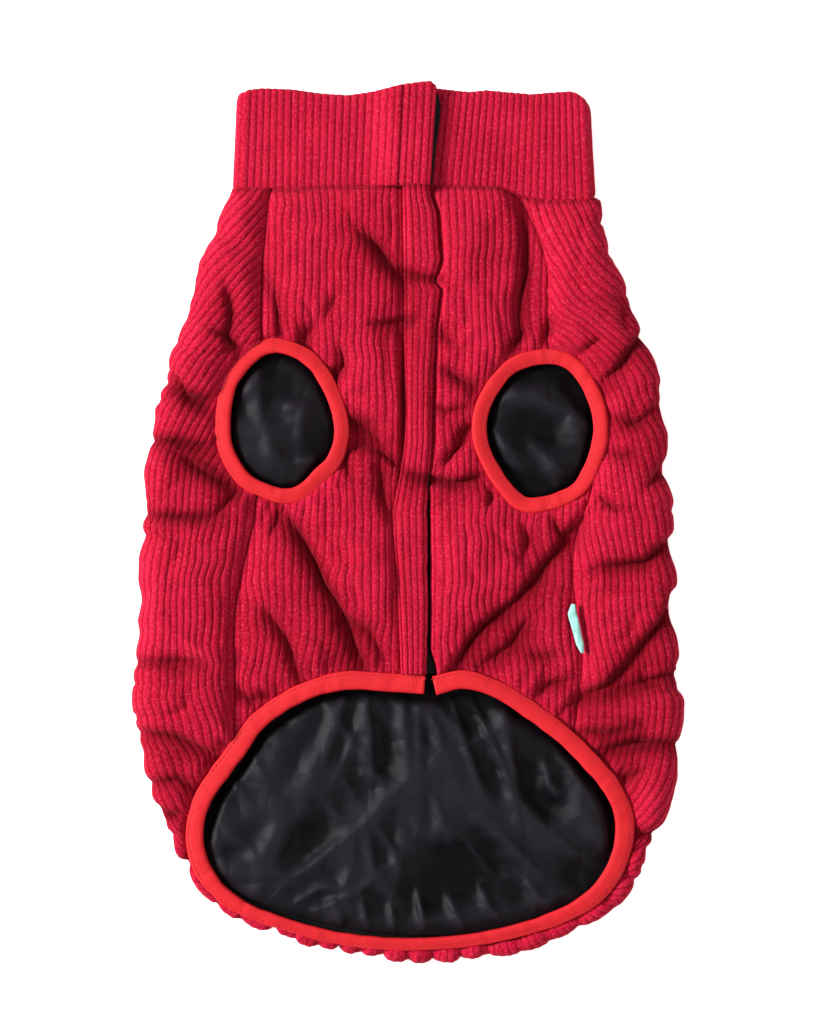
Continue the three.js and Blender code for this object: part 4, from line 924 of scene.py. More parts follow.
def edge_loop(triangles):
    """The longest edge of a patch, in the direction of its triangles."""
    pairs = np.vstack([triangles[:, [0, 1]], triangles[:, [1, 2]], triangles[:, [2, 0]]])
    count = triangles.max() + 1
    outer = pairs[~np.isin(pairs[:, 0] * count + pairs[:, 1], pairs[:, 1] * count + pairs[:, 0])]
    following = dict(outer.tolist())
    loops = []
    while following:
        loop = list(following.popitem())
        while loop[-1] in following:
            loop.append(following.pop(loop[-1]))
        loops.append(loop[:-1])
    return max(loops, key=len)


class Patch:
    """A patch of cloth: points in space, pattern coordinates, triangles and edge."""

    def __init__(self, grid, place, turned=False):
        pattern, triangles = grid
        self.pattern = pattern
        self.points = place(pattern[:, 0], pattern[:, 1])
        self.triangles = triangles[:, ::-1] if turned else triangles
        self.edge = edge_loop(self.triangles)


class Wall:
    """A closed wall from an outer and an inner patch, joined along their edges."""

    def __init__(self, outer, inner):
        shift = len(outer.points)
        self.points = np.vstack([outer.points, inner.points])
        self.pattern = np.vstack([outer.pattern, inner.pattern])
        rim = self.rim(np.array(outer.edge), np.array(inner.edge) + shift)
        turned = inner.triangles[:, ::-1] + shift
        self.triangles = np.vstack([outer.triangles, rim, turned])
        self.faces = [len(outer.triangles) + len(rim), len(turned)]

    def rim(self, a, b):
        """Triangles between two edges, by always taking the shorter next step."""
        b = np.roll(b, -np.linalg.norm(self.points[b] - self.points[a[0]], axis=1).argmin())
        a, b = np.append(a, a[0]), np.append(b, b[0])
        places_a, places_b = self.points[a].tolist(), self.points[b].tolist()
        made = []
        i = j = 0
        while i + 1 < len(a) or j + 1 < len(b):
            take_a = j + 1 >= len(b)
            if not take_a and i + 1 < len(a):
                take_a = math.dist(places_a[i + 1], places_b[j]) <= math.dist(places_a[i], places_b[j + 1])
            if take_a:
                made.append((a[i + 1], a[i], b[j]))
                i += 1
            else:
                made.append((b[j], b[j + 1], a[i]))
                j += 1
        return np.array(made)


def steps(low, high, step):
    return np.linspace(low, high, max(round((high - low) / step), 1) + 1)


def rib_columns(low, high):
    """Columns on the crests, in the grooves and between them."""
    step = size("wale") / COLUMNS_PER_RIB
    return np.arange(math.floor(low / step), math.ceil(high / step) + 1) * step


def close_middle(band, height):
    """Close the rolled band with the flat middle of the back panel."""
    place = band.points[band.edge]
    out = BODY_LINE.nearest(place[:, 0], place[:, 1])[2]
    level = np.abs(place[:, 2] - height) < 0.05
    flat = level & (place[:, 1] < NECK_BACK - 1) & (out < -FLAT_EDGE / 2)
    count = len(flat)
    begin = next(i for i in range(count) if flat[i] and not flat[i - 1])
    turned = np.roll(band.edge, -begin)
    length = int(np.argmin(np.roll(flat, -begin)))
    chain, rest = turned[:length].tolist(), turned[length:].tolist()
    t = np.linspace(0, 1, 14)[1:-1, None]
    shift = len(band.points)
    bridge = list(range(shift, shift + len(t)))
    across = mix(band.points[chain[0]], band.points[chain[-1]], t)
    across[:, 2] = height
    band.points = np.vstack([band.points, across])
    band.pattern = np.vstack([band.pattern, across[:, :2]])
    ring = chain[::-1] + bridge
    faces = tessellate_polygon([[Vector(band.points[k]) for k in ring]])
    faces = np.array([[ring[k] for k in face] for face in faces])
    a, b, c = (band.points[faces[:, k]][:, :2] for k in range(3))
    turn = (b[:, 0] - a[:, 0]) * (c[:, 1] - a[:, 1]) - (b[:, 1] - a[:, 1]) * (c[:, 0] - a[:, 0])
    pairs = {(x, y) for face in faces.tolist() for x, y in zip(face, face[1:] + face[:1])}
    wrong = (chain[0], chain[1]) in pairs
    faces = np.where((turn.sum() * turn < 0)[:, None], faces[:, ::-1], faces)
    band.triangles = np.vstack([band.triangles, faces[:, ::-1] if wrong else faces])
    band.edge = rest + [chain[0]] + bridge + [chain[-1]]
    return band


def belly_edge(x, y):
    return np.minimum(
        np.minimum(-outside_belly(x, y) - SEAM_GAP, bindings(x, y)[0] + TUCK),
        neck_line(x) - GAP - y,
    )


def left_keep(x, y):
    return np.minimum(belly_edge(x, y), read(STRIP, "y", y, "left") - SEAM_GAP - x)


def right_keep(x, y):
    return np.minimum(belly_edge(x, y), x - read(STRIP, "y", y, "panel") - TAPE_GAP)


def belly_surface(x, y, keep):
    """The outer surface of a belly panel."""
    edge = keep(x, y)
    soft = swell(edge / SEAM_SOFT)
    depth, pull_x, pull_y = crease_field(CREASES, x, y)
    bound, gathers = bindings(x, y)
    seam = shoulder(-outside_belly(x, y) / SEAM_SOFT)
    hem = shoulder(bound / SEAM_SOFT)
    neck = NECK_SLOPE[0] * shoulder((neck_line(x) - y) / SEAM_SOFT) - NECK_SLOPE[1]
    strip = STRIP_DIP * (1 - smooth(0, STRIP_SLOPE, read(STRIP, "y", y, "left") - x)) * (x < 0)
    low = strip + BELLY_DIP * (1 - seam) + BOUND_DIP * (1 - hem) + (BELLY_Z[2] - BELLY_Z[1]) * (1 - neck)
    lift = (mound_height(x, y) + wadding(x, y) - crumple(x, y)) * soft - depth
    lift += gathers * smooth(TUCK, 4, edge)
    height = np.maximum(BELLY_Z[2] - low + lift, BELLY_Z[0] + LEAST_BELLY)
    z = height + rib(x, y) * smooth(0, RIB_FADE, edge)
    fade = smooth(0, PULL_FADE, edge)
    return np.stack([x + (pull_x + wander(x, y)) * fade, y + pull_y * fade, z], axis=-1)


def flat_panel(box, keep, place, low):
    """A panel that lies flat, from its outer surface and the height of its inside."""
    (x0, x1), (y0, y1) = box
    outer = trimmed_grid(rib_columns(x0, x1), steps(y0, y1, ROW), keep)
    inner = trimmed_grid(steps(x0, x1, PLAIN), steps(y0, y1, PLAIN), keep)
    under = lambda x, y: np.stack([x, y, np.full_like(x, low)], axis=-1)
    return Wall(Patch(outer, place), Patch(inner, under))


def strip_wall(ends, left, right, columns, row, top, bottom):
    """A strip between a left and a right line."""
    def surface(height):
        def place(share, along):
            x = mix(left(along), right(along), share)
            return np.stack([x, along, height(x, along, share)], axis=-1)
        return place
    everywhere = lambda u, v: np.ones_like(u)
    rows = steps(*ends, row)
    outer = Patch(trimmed_grid(np.linspace(0, 1, columns + 1), rows, everywhere), surface(top))
    inner = Patch(trimmed_grid(np.linspace(0, 1, 4), rows, everywhere), surface(bottom))
    return Wall(outer, inner)


def collar_runs():
    """Lengths along the collar where it goes from one layer or fold to the next."""
    radius = COLLAR_STEP / 2
    inset = COLLAR_WALL / 2 + radius
    low, high = COLLAR_FOLD[0] + inset, COLLAR_FOLD[1] - inset
    lengths = [COLLAR_ENDS[0] - low, math.pi * radius, high - low, math.pi * radius, high - COLLAR_ENDS[1]]
    return radius, (low, high), np.cumsum(lengths)


def collar_place(p, v, lift):
    """A point at length p along the collar's band and share v of its height."""
    radius, (low, high), (a, b, c, d, e) = collar_runs()
    base = COLLAR_WALL / 2
    stretch = [p <= a, p <= b, p <= c, p <= d]
    turn = np.where(p <= b, (p - a) / (b - a), (p - c) / (d - c)) * math.pi
    left_x = mix(COLLAR_ENDS[0] + COLLAR_LEAN[0] * v, low, p / a)
    right_x = mix(high, COLLAR_ENDS[1] + COLLAR_LEAN[1] * v, (p - d) / (e - d))
    round_left, round_right = low - np.sin(turn) * radius, high + np.sin(turn) * radius
    x = np.select(stretch, [left_x, round_left, mix(low, high, (p - b) / (c - b)), round_right], right_x)
    x = x + 2.2 * v * smooth(-60, -87, x) + (1.2 - 2.6 * v) * smooth(60, 90, x)
    over = 1 - smooth(COLLAR_ENDS[1] - 20, COLLAR_ENDS[1] - 4, left_x)
    bumps = COLLAR_WAVE * (np.sin(x / 9) + lumps(x, v * 40, 13, 8)) * np.sin(v * math.pi)
    top = base + COLLAR_STEP
    left_z = top + (1 - over) * COLLAR_STEP + bumps
    rounds = [base + radius + np.cos(turn) * radius, base + radius - np.cos(turn) * radius]
    z = np.select(stretch, [left_z, rounds[0], np.full_like(p, base), rounds[1]], top)
    z = np.where(p > d, z + bumps * smooth(d, d + 20, p), z)
    one, zero = np.ones_like(p), np.zeros_like(p)
    nx = np.select(stretch, [zero, -np.sin(turn), zero, np.sin(turn)], 0.0)
    nz = np.select(stretch, [one, np.cos(turn), -one, -np.cos(turn)], 1.0)
    front = np.select(stretch, [one, 0.5 + 0.5 * nz, zero, 0.5 + 0.5 * nz], 1.0)
    seam = mix(NECK_BACK, neck_line(x) - NECK_LAP, front) + GAP
    left = stretch[1] | (stretch[2] & (x < 0))
    edge = np.where(left, read(COLLAR_LEFT_TOP, "x", x, "y"), read(COLLAR_RIGHT_TOP, "x", x, "y"))
    return np.stack([x + nx * lift, mix(seam, edge, v), z + nz * lift], axis=-1)


def collar_wall():
    """The standing collar: one ribbed band, flattened into two layers and lapped at the front."""
    _, _, runs = collar_runs()
    last = runs[4]

    def half_thick(p, v):
        ends = swell(np.minimum(p, last - p) / 3)
        return COLLAR_WALL / 2 * mix(EDGE_THIN, 1, swell((1 - v) * 8) * ends * swell(0.3 + v * 8))

    def outer(p, v):
        top = smooth(runs[1], runs[0], p) + smooth(runs[2], runs[3], p)
        along = np.where(p > runs[2], p - last, p)
        ribs = rib(along, v * COLLAR_HEIGHT)
        pile = ribs * (0.35 + 0.65 * top) * swell((1 - v) * 12) * smooth(0, 0.03, v)
        hem_line = STITCH_GROOVE * np.exp(-(((v - STITCH_TOP) / 0.018) ** 2)) * smooth(26, 16, p)
        end_line = STITCH_GROOVE * np.exp(-(((p - STITCH_INSET) / 0.9) ** 2))
        made = collar_place(p, v, half_thick(p, v) - size("rib") / 2 + pile - hem_line - end_line)
        made[..., 1] += EDGE_RIB * (ribs - size("rib")) * smooth(STITCH_TOP, 1, v)
        return made

    def inner(p, v):
        return collar_place(p, v, -half_thick(p, v))

    fine = size("wale") / COLUMNS_PER_RIB
    columns = np.concatenate([
        steps(0, runs[0], fine),
        steps(runs[0], runs[1], fine)[1:],
        steps(runs[1], runs[2], 1.8)[1:],
        steps(runs[2], runs[3], fine)[1:],
        steps(runs[3], last, fine)[1:],
    ])
    plain = np.concatenate([
        steps(0, runs[0], PLAIN),
        steps(runs[0], runs[1], 1)[1:],
        steps(runs[1], runs[2], PLAIN)[1:],
        steps(runs[2], runs[3], 1)[1:],
        steps(runs[3], last, PLAIN)[1:],
    ])
    levels = np.concatenate([np.linspace(0, 0.9, 30), 1 - 0.1 * np.linspace(1, 0, 9)[1:] ** 1.5])
    coarse = np.array([0, 0.2, 0.4, 0.6, 0.8, 0.93, 1])
    everywhere = lambda u, v: np.ones_like(u)
    outside = Patch(trimmed_grid(columns, levels, everywhere), outer, True)
    wall = Wall(outside, Patch(trimmed_grid(plain, coarse, everywhere), inner, True))
    wall.pattern = wall.pattern * [1, COLLAR_HEIGHT]
    along = wall.pattern[:, 0]
    wall.pattern[:, 0] = np.where(along > runs[2], along - last, along)
    return wall


class Swept:
    """A folded binding: a flat rounded tube along its middle line, with puckers."""

    SIDES = 28
    STITCH_FROM_EDGE = 1.5

    def __init__(self, rows, closed, outside, seed, step=1.2):
        line = spaced(np.stack([rows["x"], rows["y"], rows["z"]], axis=1), closed, step)
        count = len(line)
        index = np.arange(count)
        if closed:
            ahead, behind = line[(index + 1) % count], line[index - 1]
        else:
            ahead, behind = line[np.minimum(index + 1, count - 1)], line[np.maximum(index - 1, 0)]
        along = (ahead - behind)[:, :2]
        along /= np.linalg.norm(along, axis=1, keepdims=True)
        self.across = np.stack([along[:, 1], -along[:, 0]], axis=1) * outside
        length = index * step
        width = nearest_row(rows, line[:, 0], line[:, 1], "width") if "width" in rows else LEG_WIDTH
        half = width / 2 * (1 + 0.05 * lumps(length, 0 * length, 6, seed))
        self.line, self.half, self.length = line, np.broadcast_to(half, (count,)), length
        angle = (np.arange(self.SIDES) + 0.5) / self.SIDES * 2 * math.pi
        c, s = np.cos(angle), np.sin(angle)
        reach = np.sign(c) * np.abs(c) ** 0.6
        rise = np.sign(s) * np.abs(s) ** 0.55
        out = self.half[:, None] * reach
        pucker = lumps(length[:, None] + 0 * out, 40 + out * 0.4, 3.1, seed + 1)
        pinch = np.maximum(lumps(length[:, None] + 0 * out, 90 + 0 * out, 4.3, seed + 2) - 0.35, 0)
        top = np.maximum(rise, 0)
        height = size("binding_height") / 2 * rise * (1 - 0.22 * reach)
        height = height + top * (0.16 * pucker - 0.7 * pinch * smooth(0.4, -1, reach))
        height -= top * 0.35 * np.exp(-(((self.half[:, None] - out - self.STITCH_FROM_EDGE) / 0.45) ** 2))
        self.points = np.empty((count, self.SIDES, 3))
        self.points[..., :2] = line[:, None, :2] + self.across[:, None] * out[..., None]
        self.points[..., 2] = line[:, None, 2] + height
        self.pattern = np.stack([out, length[:, None] + 0 * out], axis=-1)
        self.closed = closed
        self.turned = outside > 0

    def wall(self):
        """The faces of the tube."""
        count, sides = self.points.shape[:2]
        i, k = np.meshgrid(np.arange(count if self.closed else count - 1), np.arange(sides), indexing="ij")
        i, k = i.ravel(), k.ravel()
        a, b = i * sides + k, i * sides + (k + 1) % sides
        c, d = (i + 1) % count * sides + k, (i + 1) % count * sides + (k + 1) % sides
        faces = np.vstack([np.stack([a, d, b], axis=1), np.stack([a, c, d], axis=1)])
        if not self.closed:
            k = np.arange(1, sides - 1)
            last = (count - 1) * sides
            start = np.stack([0 * k, k, k + 1], axis=1)
            end = np.stack([last + 0 * k, last + k + 1, last + k], axis=1)
            faces = np.vstack([faces, start, end])
        return faces if self.turned else faces[:, ::-1]

    def stitch_line(self):
        """The line of its stitches, near its outer edge."""
        out = self.half - self.STITCH_FROM_EDGE
        made = self.line.copy()
        made[:, :2] += self.across * out[:, None]
        made[:, 2] += size("binding_height") / 2 * 0.72
        return made


# Nodes

def add(tree, kind, inputs=None, **settings):
    """Add a node, set it and link or fill its inputs."""
    node = tree.nodes.new(kind)
    for name, value in settings.items():
        setattr(node, name, value)
    for name, value in (inputs or {}).items():
        if isinstance(value, bpy.types.NodeSocket):
            tree.links.new(value, node.inputs[name])
        else:
            node.inputs[name].default_value = value
    return node


def maths(tree, operation, *values, clamped=False):
    inputs = dict(enumerate(values))
    return add(tree, "ShaderNodeMath", inputs, operation=operation, use_clamp=clamped).outputs[0]


def blend_colour(tree, share, low, high):
    node = add(tree, "ShaderNodeMix", data_type="RGBA")
    for index, value in ((0, share), (6, low), (7, high)):
        if isinstance(value, bpy.types.NodeSocket):
            tree.links.new(value, node.inputs[index])
        else:
            node.inputs[index].default_value = value
    return node.outputs[2]


def noise(tree, vector, scale, detail=2.0, roughness=0.5):
    inputs = {"Vector": vector, "Scale": scale, "Detail": detail, "Roughness": roughness}
    return add(tree, "ShaderNodeTexNoise", inputs).outputs[0]


def stretched(tree, vector, scale):
    return add(tree, "ShaderNodeVectorMath", {0: vector, 1: scale}, operation="MULTIPLY").outputs[0]


def new_group(name, inputs, outputs):
    """A shader node group with named inputs and outputs, and its two end nodes."""
    tree = bpy.data.node_groups.new(name, "ShaderNodeTree")
    for label, kind, default in inputs:
        socket = tree.interface.new_socket(label, in_out="INPUT", socket_type=kind)
        if default is not None:
            socket.default_value = default
    for label, kind in outputs:
        tree.interface.new_socket(label, in_out="OUTPUT", socket_type=kind)
    start = add(tree, "NodeGroupInput")
    end = add(tree, "NodeGroupOutput")
    return tree, start.outputs, end


def pile_group():
    """Corduroy pile: the crests of the ribs, the tufts on them and their height."""
    tree, given, end = new_group(
        "Corduroy pile",
        [("Pattern", "NodeSocketVector", None), ("Tufts", "NodeSocketFloat", 1.0)],
        [("Crest", "NodeSocketFloat"), ("Fuzz", "NodeSocketFloat"), ("Height", "NodeSocketFloat")],
    )
    pattern = given["Pattern"]
    across = add(tree, "ShaderNodeSeparateXYZ", {0: pattern}).outputs[0]
    turned = maths(tree, "FRACT", maths(tree, "ADD", across, 0.5))
    far = maths(tree, "MULTIPLY", maths(tree, "ABSOLUTE", maths(tree, "SUBTRACT", turned, 0.5)), 2.0)
    crest = maths(tree, "SUBTRACT", 1.0, maths(tree, "POWER", far, 4.5))
    tuft = noise(tree, stretched(tree, pattern, (1.9, 1.5, 1.0)), 1.6, 2.0, 0.6)
    fine = noise(tree, stretched(tree, pattern, (4.5, 3.6, 1.0)), 1.6, 3.0, 0.75)
    fuzz = maths(tree, "ADD", maths(tree, "MULTIPLY", tuft, 0.55), maths(tree, "MULTIPLY", fine, 0.45))
    bumps = maths(tree, "MULTIPLY", maths(tree, "SUBTRACT", fuzz, 0.5), given["Tufts"])
    height = maths(tree, "ADD", maths(tree, "MULTIPLY", crest, 0.35), bumps)
    tree.links.new(crest, end.inputs["Crest"])
    tree.links.new(fuzz, end.inputs["Fuzz"])
    tree.links.new(height, end.inputs["Height"])
    return tree


def shading_group():
    """Slow changes of shade over cloth, where it is brushed one way or the other or handled."""
    tree, given, end = new_group(
        "Brushed cloth",
        [("Scale", "NodeSocketFloat", 1.0), ("Contrast", "NodeSocketFloat", 1.0)],
        [("Shade", "NodeSocketFloat")],
    )
    place = add(tree, "ShaderNodeTexCoord").outputs["Object"]
    wide = noise(tree, place, maths(tree, "MULTIPLY", given["Scale"], 26.0), 3.0, 0.6)
    small = noise(tree, place, maths(tree, "MULTIPLY", given["Scale"], 120.0), 2.0, 0.6)
    both = maths(tree, "ADD", maths(tree, "MULTIPLY", wide, 0.65), maths(tree, "MULTIPLY", small, 0.35))
    centred = maths(tree, "MULTIPLY", maths(tree, "SUBTRACT", both, 0.5), given["Contrast"])
    shade = maths(tree, "ADD", maths(tree, "MULTIPLY", centred, 2.2), 0.5, clamped=True)
    tree.links.new(shade, end.inputs["Shade"])
    return tree


def weave_group():
    """A fine plain weave: warp and weft threads that pass over and under each other."""
    tree, given, end = new_group(
        "Plain weave",
        [("Pattern", "NodeSocketVector", None), ("Threads", "NodeSocketFloat", 1.6)],
        [("Thread", "NodeSocketFloat"), ("Height", "NodeSocketFloat")],
    )
    parts = add(tree, "ShaderNodeSeparateXYZ", {0: given["Pattern"]}).outputs
    waves = []
    for part in parts[:2]:
        turn = maths(tree, "MULTIPLY", maths(tree, "MULTIPLY", part, given["Threads"]), math.pi)
        waves.append(maths(tree, "SINE", turn))
    over = maths(tree, "MULTIPLY", waves[0], waves[1])
    height = maths(tree, "ABSOLUTE", over)
    tree.links.new(maths(tree, "ADD", maths(tree, "MULTIPLY", over, 0.5), 0.5), end.inputs["Thread"])
    tree.links.new(height, end.inputs["Height"])
    return tree


def group(tree, name, maker, inputs):
    """Place a shared group, which is built the first time."""
    shared = bpy.data.node_groups.get(name) or maker()
    node = tree.nodes.new("ShaderNodeGroup")
    node.node_tree = shared
    for label, value in inputs.items():
        if isinstance(value, bpy.types.NodeSocket):
            tree.links.new(value, node.inputs[label])
        else:
            node.inputs[label].default_value = value
    return node.outputs


def new_material(name, look, roughness, strength, distance, **sockets):
    """A cloth material from a function that makes its base colour and the height of its relief."""
    known = bpy.data.materials.get(name)
    if known:
        return known
    material = bpy.data.materials.new(name)
    material.use_nodes = True
    tree = material.node_tree
    shader = tree.nodes["Principled BSDF"]
    pattern = add(tree, "ShaderNodeUVMap", uv_map="Pattern").outputs[0]
    base, relief = look(tree, pattern)
    tree.links.new(base, shader.inputs["Base Color"])
    shader.inputs["Roughness"].default_value = roughness
    bump = add(tree, "ShaderNodeBump", {"Strength": strength, "Distance": distance, "Height": relief})
    tree.links.new(bump.outputs[0], shader.inputs["Normal"])
    for label, value in sockets.items():
        shader.inputs[label.replace("_", " ")].default_value = value
    return material


def corduroy_look(tree, pattern):
    """Ribs with painted shade in their grooves, painted highlights on the pile tips, and painted shade on
    the pile in the creases.
    """
    pile = group(tree, "Corduroy pile", pile_group, {"Pattern": pattern, "Tufts": 3.0})
    shade = group(tree, "Brushed cloth", shading_group, {"Scale": 1.3, "Contrast": 1.5})["Shade"]
    painted_shade = add(tree, "ShaderNodeAttribute", attribute_name="PaintedShade").outputs["Fac"]
    # Painted shade on the pile in the creases and painted light on its ridges, from the shade mask
    relief_shade = maths(tree, "MULTIPLY", maths(tree, "SUBTRACT", 0.5, painted_shade), 1.5)
    brushed_tone_and_shade = maths(tree, "ADD", shade, relief_shade, clamped=True)
    # Darker ribs where the pile is brushed away at random, and where painted shade falls in the creases
    body = blend_colour(tree, brushed_tone_and_shade, colour("corduroy_brushed_and_shaded"), colour("corduroy"))
    # Painted shade in the grooves between the ribs
    ribbed = blend_colour(tree, pile["Crest"], colour("groove"), body)
    # Painted shadow deep in the creases
    crease_shadow = maths(tree, "MULTIPLY", maths(tree, "SUBTRACT", painted_shade, 0.58), 2.0, clamped=True)
    ribbed = blend_colour(tree, crease_shadow, ribbed, colour("shadow"))
    # Painted highlights on the crests of the pile, kept out of the painted shadow
    lit = maths(tree, "MULTIPLY", maths(tree, "SUBTRACT", pile["Fuzz"], 0.49), 5.5, clamped=True)
    standing = maths(tree, "ADD", maths(tree, "MULTIPLY", pile["Crest"], 0.5), 0.2)
    tips = maths(tree, "MULTIPLY", lit, standing)
    tips = maths(tree, "MULTIPLY", tips, maths(tree, "SUBTRACT", 1.0, crease_shadow))
    return blend_colour(tree, tips, ribbed, colour("pile_highlight")), pile["Height"]


def woven_look(low, high, threads, relief):
    """The look of a plain weave between two named colours."""
    def look(tree, pattern):
        weave = group(tree, "Plain weave", weave_group, {"Pattern": pattern, "Threads": threads})
        shade = group(tree, "Brushed cloth", shading_group, {"Scale": 1.6, "Contrast": 0.8})["Shade"]
        threads_part = maths(tree, "MULTIPLY", weave["Thread"], 0.35)
        tint = maths(tree, "ADD", threads_part, maths(tree, "MULTIPLY", shade, 0.65))
        height = maths(tree, "ADD", maths(tree, "MULTIPLY", weave["Height"], relief), shade)
        return blend_colour(tree, tint, colour(low), colour(high)), height
    return look


def corduroy_material():
    return new_material(
        "Corduroy", corduroy_look, 0.82, 0.75, 0.0007,
        Sheen_Weight=0.06, Sheen_Roughness=0.5, Sheen_Tint=(1.0, 0.3, 0.35, 1.0), Specular_IOR_Level=0.06,
    )


def binding_material():
    return new_material(
        "Binding", woven_look("binding_deep", "binding", 1.5, 0.9), 0.62, 0.5, 0.00025,
        Specular_IOR_Level=0.2,
    )


def lining_look():
    return woven_look("lining_deep", "lining", 5.0, 0.15)


def lining_material():
    return new_material(
        "Nylon lining", lining_look(), 0.58, 0.25, 0.0002,
        Specular_IOR_Level=0.22,
    )


def back_lining_material():
    """Nylon that is lit on its folds, with fine crinkles."""
    def look(tree, pattern):
        low, relief = lining_look()(tree, pattern)
        painted_shade = add(tree, "ShaderNodeAttribute", attribute_name="PaintedShade").outputs["Fac"]
        place = add(tree, "ShaderNodeTexCoord").outputs["Object"]
        relief = maths(tree, "MULTIPLY", relief, 0.03)
        for scale, share in (((52, 20, 1), 1.0), ((24, 64, 1), 0.7)):
            waves = noise(tree, stretched(tree, place, scale), 1.0, 1.5, 0.4)
            crinkle = maths(tree, "ABSOLUTE", maths(tree, "SUBTRACT", waves, 0.5))
            relief = maths(tree, "ADD", relief, maths(tree, "MULTIPLY", crinkle, share))
        # Painted light on the high folds, painted shade in the low hollows
        return blend_colour(tree, painted_shade, colour("lining_lit"), low), relief
    return new_material("Nylon lining in folds", look, 0.46, 0.42, 0.009, Specular_IOR_Level=0.08)


def hook_material():
    return new_material("Hook tape", woven_look("hook_deep", "hook", 1.4, 1.6), 0.85, 0.9, 0.0006)


def label_material():
    return new_material("Tag ribbon", woven_look("label_deep", "label", 3.0, 0.4), 0.5, 0.4, 0.0002)


def thread_material():
    return new_material("Thread", woven_look("groove", "thread", 6.0, 0.3), 0.6, 0.3, 0.0001)


# Pieces

def make_mesh(name, points, triangles, pattern, materials, faces=None, unit=1.0):
    """A piece from points in millimetres, with its pattern coordinates as a UV map."""
    mesh = bpy.data.meshes.new(name)
    mesh.from_pydata((np.asarray(points) * MM).tolist(), [], np.asarray(triangles).tolist())
    layer = mesh.uv_layers.new(name="Pattern")
    corners = np.empty(len(mesh.loops), int)
    mesh.loops.foreach_get("vertex_index", corners)
    layer.data.foreach_set("uv", (np.asarray(pattern)[corners] / unit).ravel())
    for material in materials:
        mesh.materials.append(material)
    if faces:
        mesh.polygons.foreach_set("material_index", np.repeat([0, 1], faces).astype(np.int32))
    mesh.polygons.foreach_set("use_smooth", np.ones(len(mesh.polygons), bool))
    mesh.update()
    piece = bpy.data.objects.new(name, mesh)
    bpy.context.scene.collection.objects.link(piece)
    return piece


def mark(piece, painted_shade):
    """Store how deep each point lies, as a mask of painted shade on the cloth."""
    layer = piece.data.attributes.new("PaintedShade", "FLOAT", "POINT")
    layer.data.foreach_set("value", np.asarray(painted_shade, np.float32))


def mark_painted_shade(piece):
    """Store how deep each point lies in a crease or just under the collar's edge, as a mask of painted shade
    on the pile.
    """
    points = np.empty(len(piece.data.vertices) * 3)
    piece.data.vertices.foreach_get("co", points)
    x, y, z = points.reshape(-1, 3).T / MM
    # Painted shadow on the pile along the collar's lower edge
    seam = SEAM_SHADE[0] * np.exp(-(((neck_line(x) - NECK_LAP - y) / SEAM_SHADE[1]) ** 2))
    depth = (crease_field(CREASES, x, y)[0] + 0.7 * crumple(x, y) + seam) * smooth(7, 9, z)
    mark(piece, clamp(0.48 + depth / 11))


def dress(piece, node):
    """Put a piece on the coat in place of its solid."""
    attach(piece, "root")
    if node:
        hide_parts(node)
    return piece


def cloth_piece(name, wall, node):
    """A padded corduroy piece with the black inside."""
    materials = [corduroy_material(), lining_material()]
    piece = make_mesh(name, wall.points, wall.triangles, wall.pattern, materials, wall.faces, size("wale"))
    mark_painted_shade(piece)
    return dress(piece, node)


class CoatSizes(bpy.types.PropertyGroup):
    """Sizes of the coat that its maker would change."""

    wale: bpy.props.FloatProperty(
        name="Wale", description="Pitch of the corduroy ribs", default=0.0036, unit="LENGTH")
    rib: bpy.props.FloatProperty(
        name="Rib height", description="Height of a rib over its groove", default=0.00065, unit="LENGTH")
    wall: bpy.props.FloatProperty(
        name="Padding", description="Thickness of the padded cloth", default=0.0045, unit="LENGTH")
    binding_height: bpy.props.FloatProperty(
        name="Binding height", description="Thickness of a folded binding", default=0.0042, unit="LENGTH")
    stitch: bpy.props.FloatProperty(
        name="Stitch", description="Length of a stitch that shows", default=0.0021, unit="LENGTH")
    stitch_gap: bpy.props.FloatProperty(
        name="Stitch gap", description="Cloth between two stitches", default=0.0008, unit="LENGTH")
    thread: bpy.props.FloatProperty(
        name="Thread", description="Thickness of the sewing thread", default=0.00036, unit="LENGTH")


def colour_property(name, description, default):
    return bpy.props.FloatVectorProperty(
        name=name, description=description, default=default, subtype="COLOR", size=3, min=0, max=1)


class CoatColours(bpy.types.PropertyGroup):
    """Colours of the coat's cloths."""

    corduroy: colour_property("Corduroy", "Ribs of the corduroy", (0.56, 0.007, 0.040))
    # Darker ribs where the pile is brushed away, and painted shade on the pile in the creases
    corduroy_brushed_and_shaded: colour_property("Brushed down", "Ribs where the pile lies away", (0.42, 0.002, 0.022))
    # Painted shade in the grooves between the ribs; the thread also takes this colour for its darker weave
    groove: colour_property("Grooves", "Between the ribs", (0.34, 0.001, 0.016))
    # Painted shadow deep in a crease
    shadow: colour_property("Deep in a crease", "Pile that is closed up in a crease", (0.13, 0.0, 0.004))
    # Painted highlight on the lit ends of the pile
    pile_highlight: colour_property("Pile tips", "Lit ends of the pile", (0.78, 0.062, 0.115))
    binding: colour_property("Binding", "Tape round the leg holes and the hem", (0.71, 0.016, 0.024))
    binding_deep: colour_property("Binding in the weave", "Darker threads of the tape", (0.54, 0.008, 0.014))
    lining: colour_property("Lining", "Nylon inside the coat", (0.0025, 0.0018, 0.003))
    lining_lit: colour_property("Lining on a ridge", "Nylon on its folds", (0.0135, 0.0115, 0.015))
    lining_deep: colour_property("Lining weave", "Darker threads of the nylon", (0.001, 0.0008, 0.0015))
    hook: colour_property("Hook tape", "Closure tape", (0.006, 0.005, 0.007))
    hook_deep: colour_property("Hook tape ground", "Closure tape between its hooks", (0.004, 0.004, 0.005))
    label: colour_property("Tag", "Small folded tag", (0.40, 0.72, 0.65))
    label_deep: colour_property("Tag in the weave", "Darker threads of the tag", (0.22, 0.52, 0.46))
    thread: colour_property("Thread", "Sewing thread", (0.42, 0.006, 0.028))


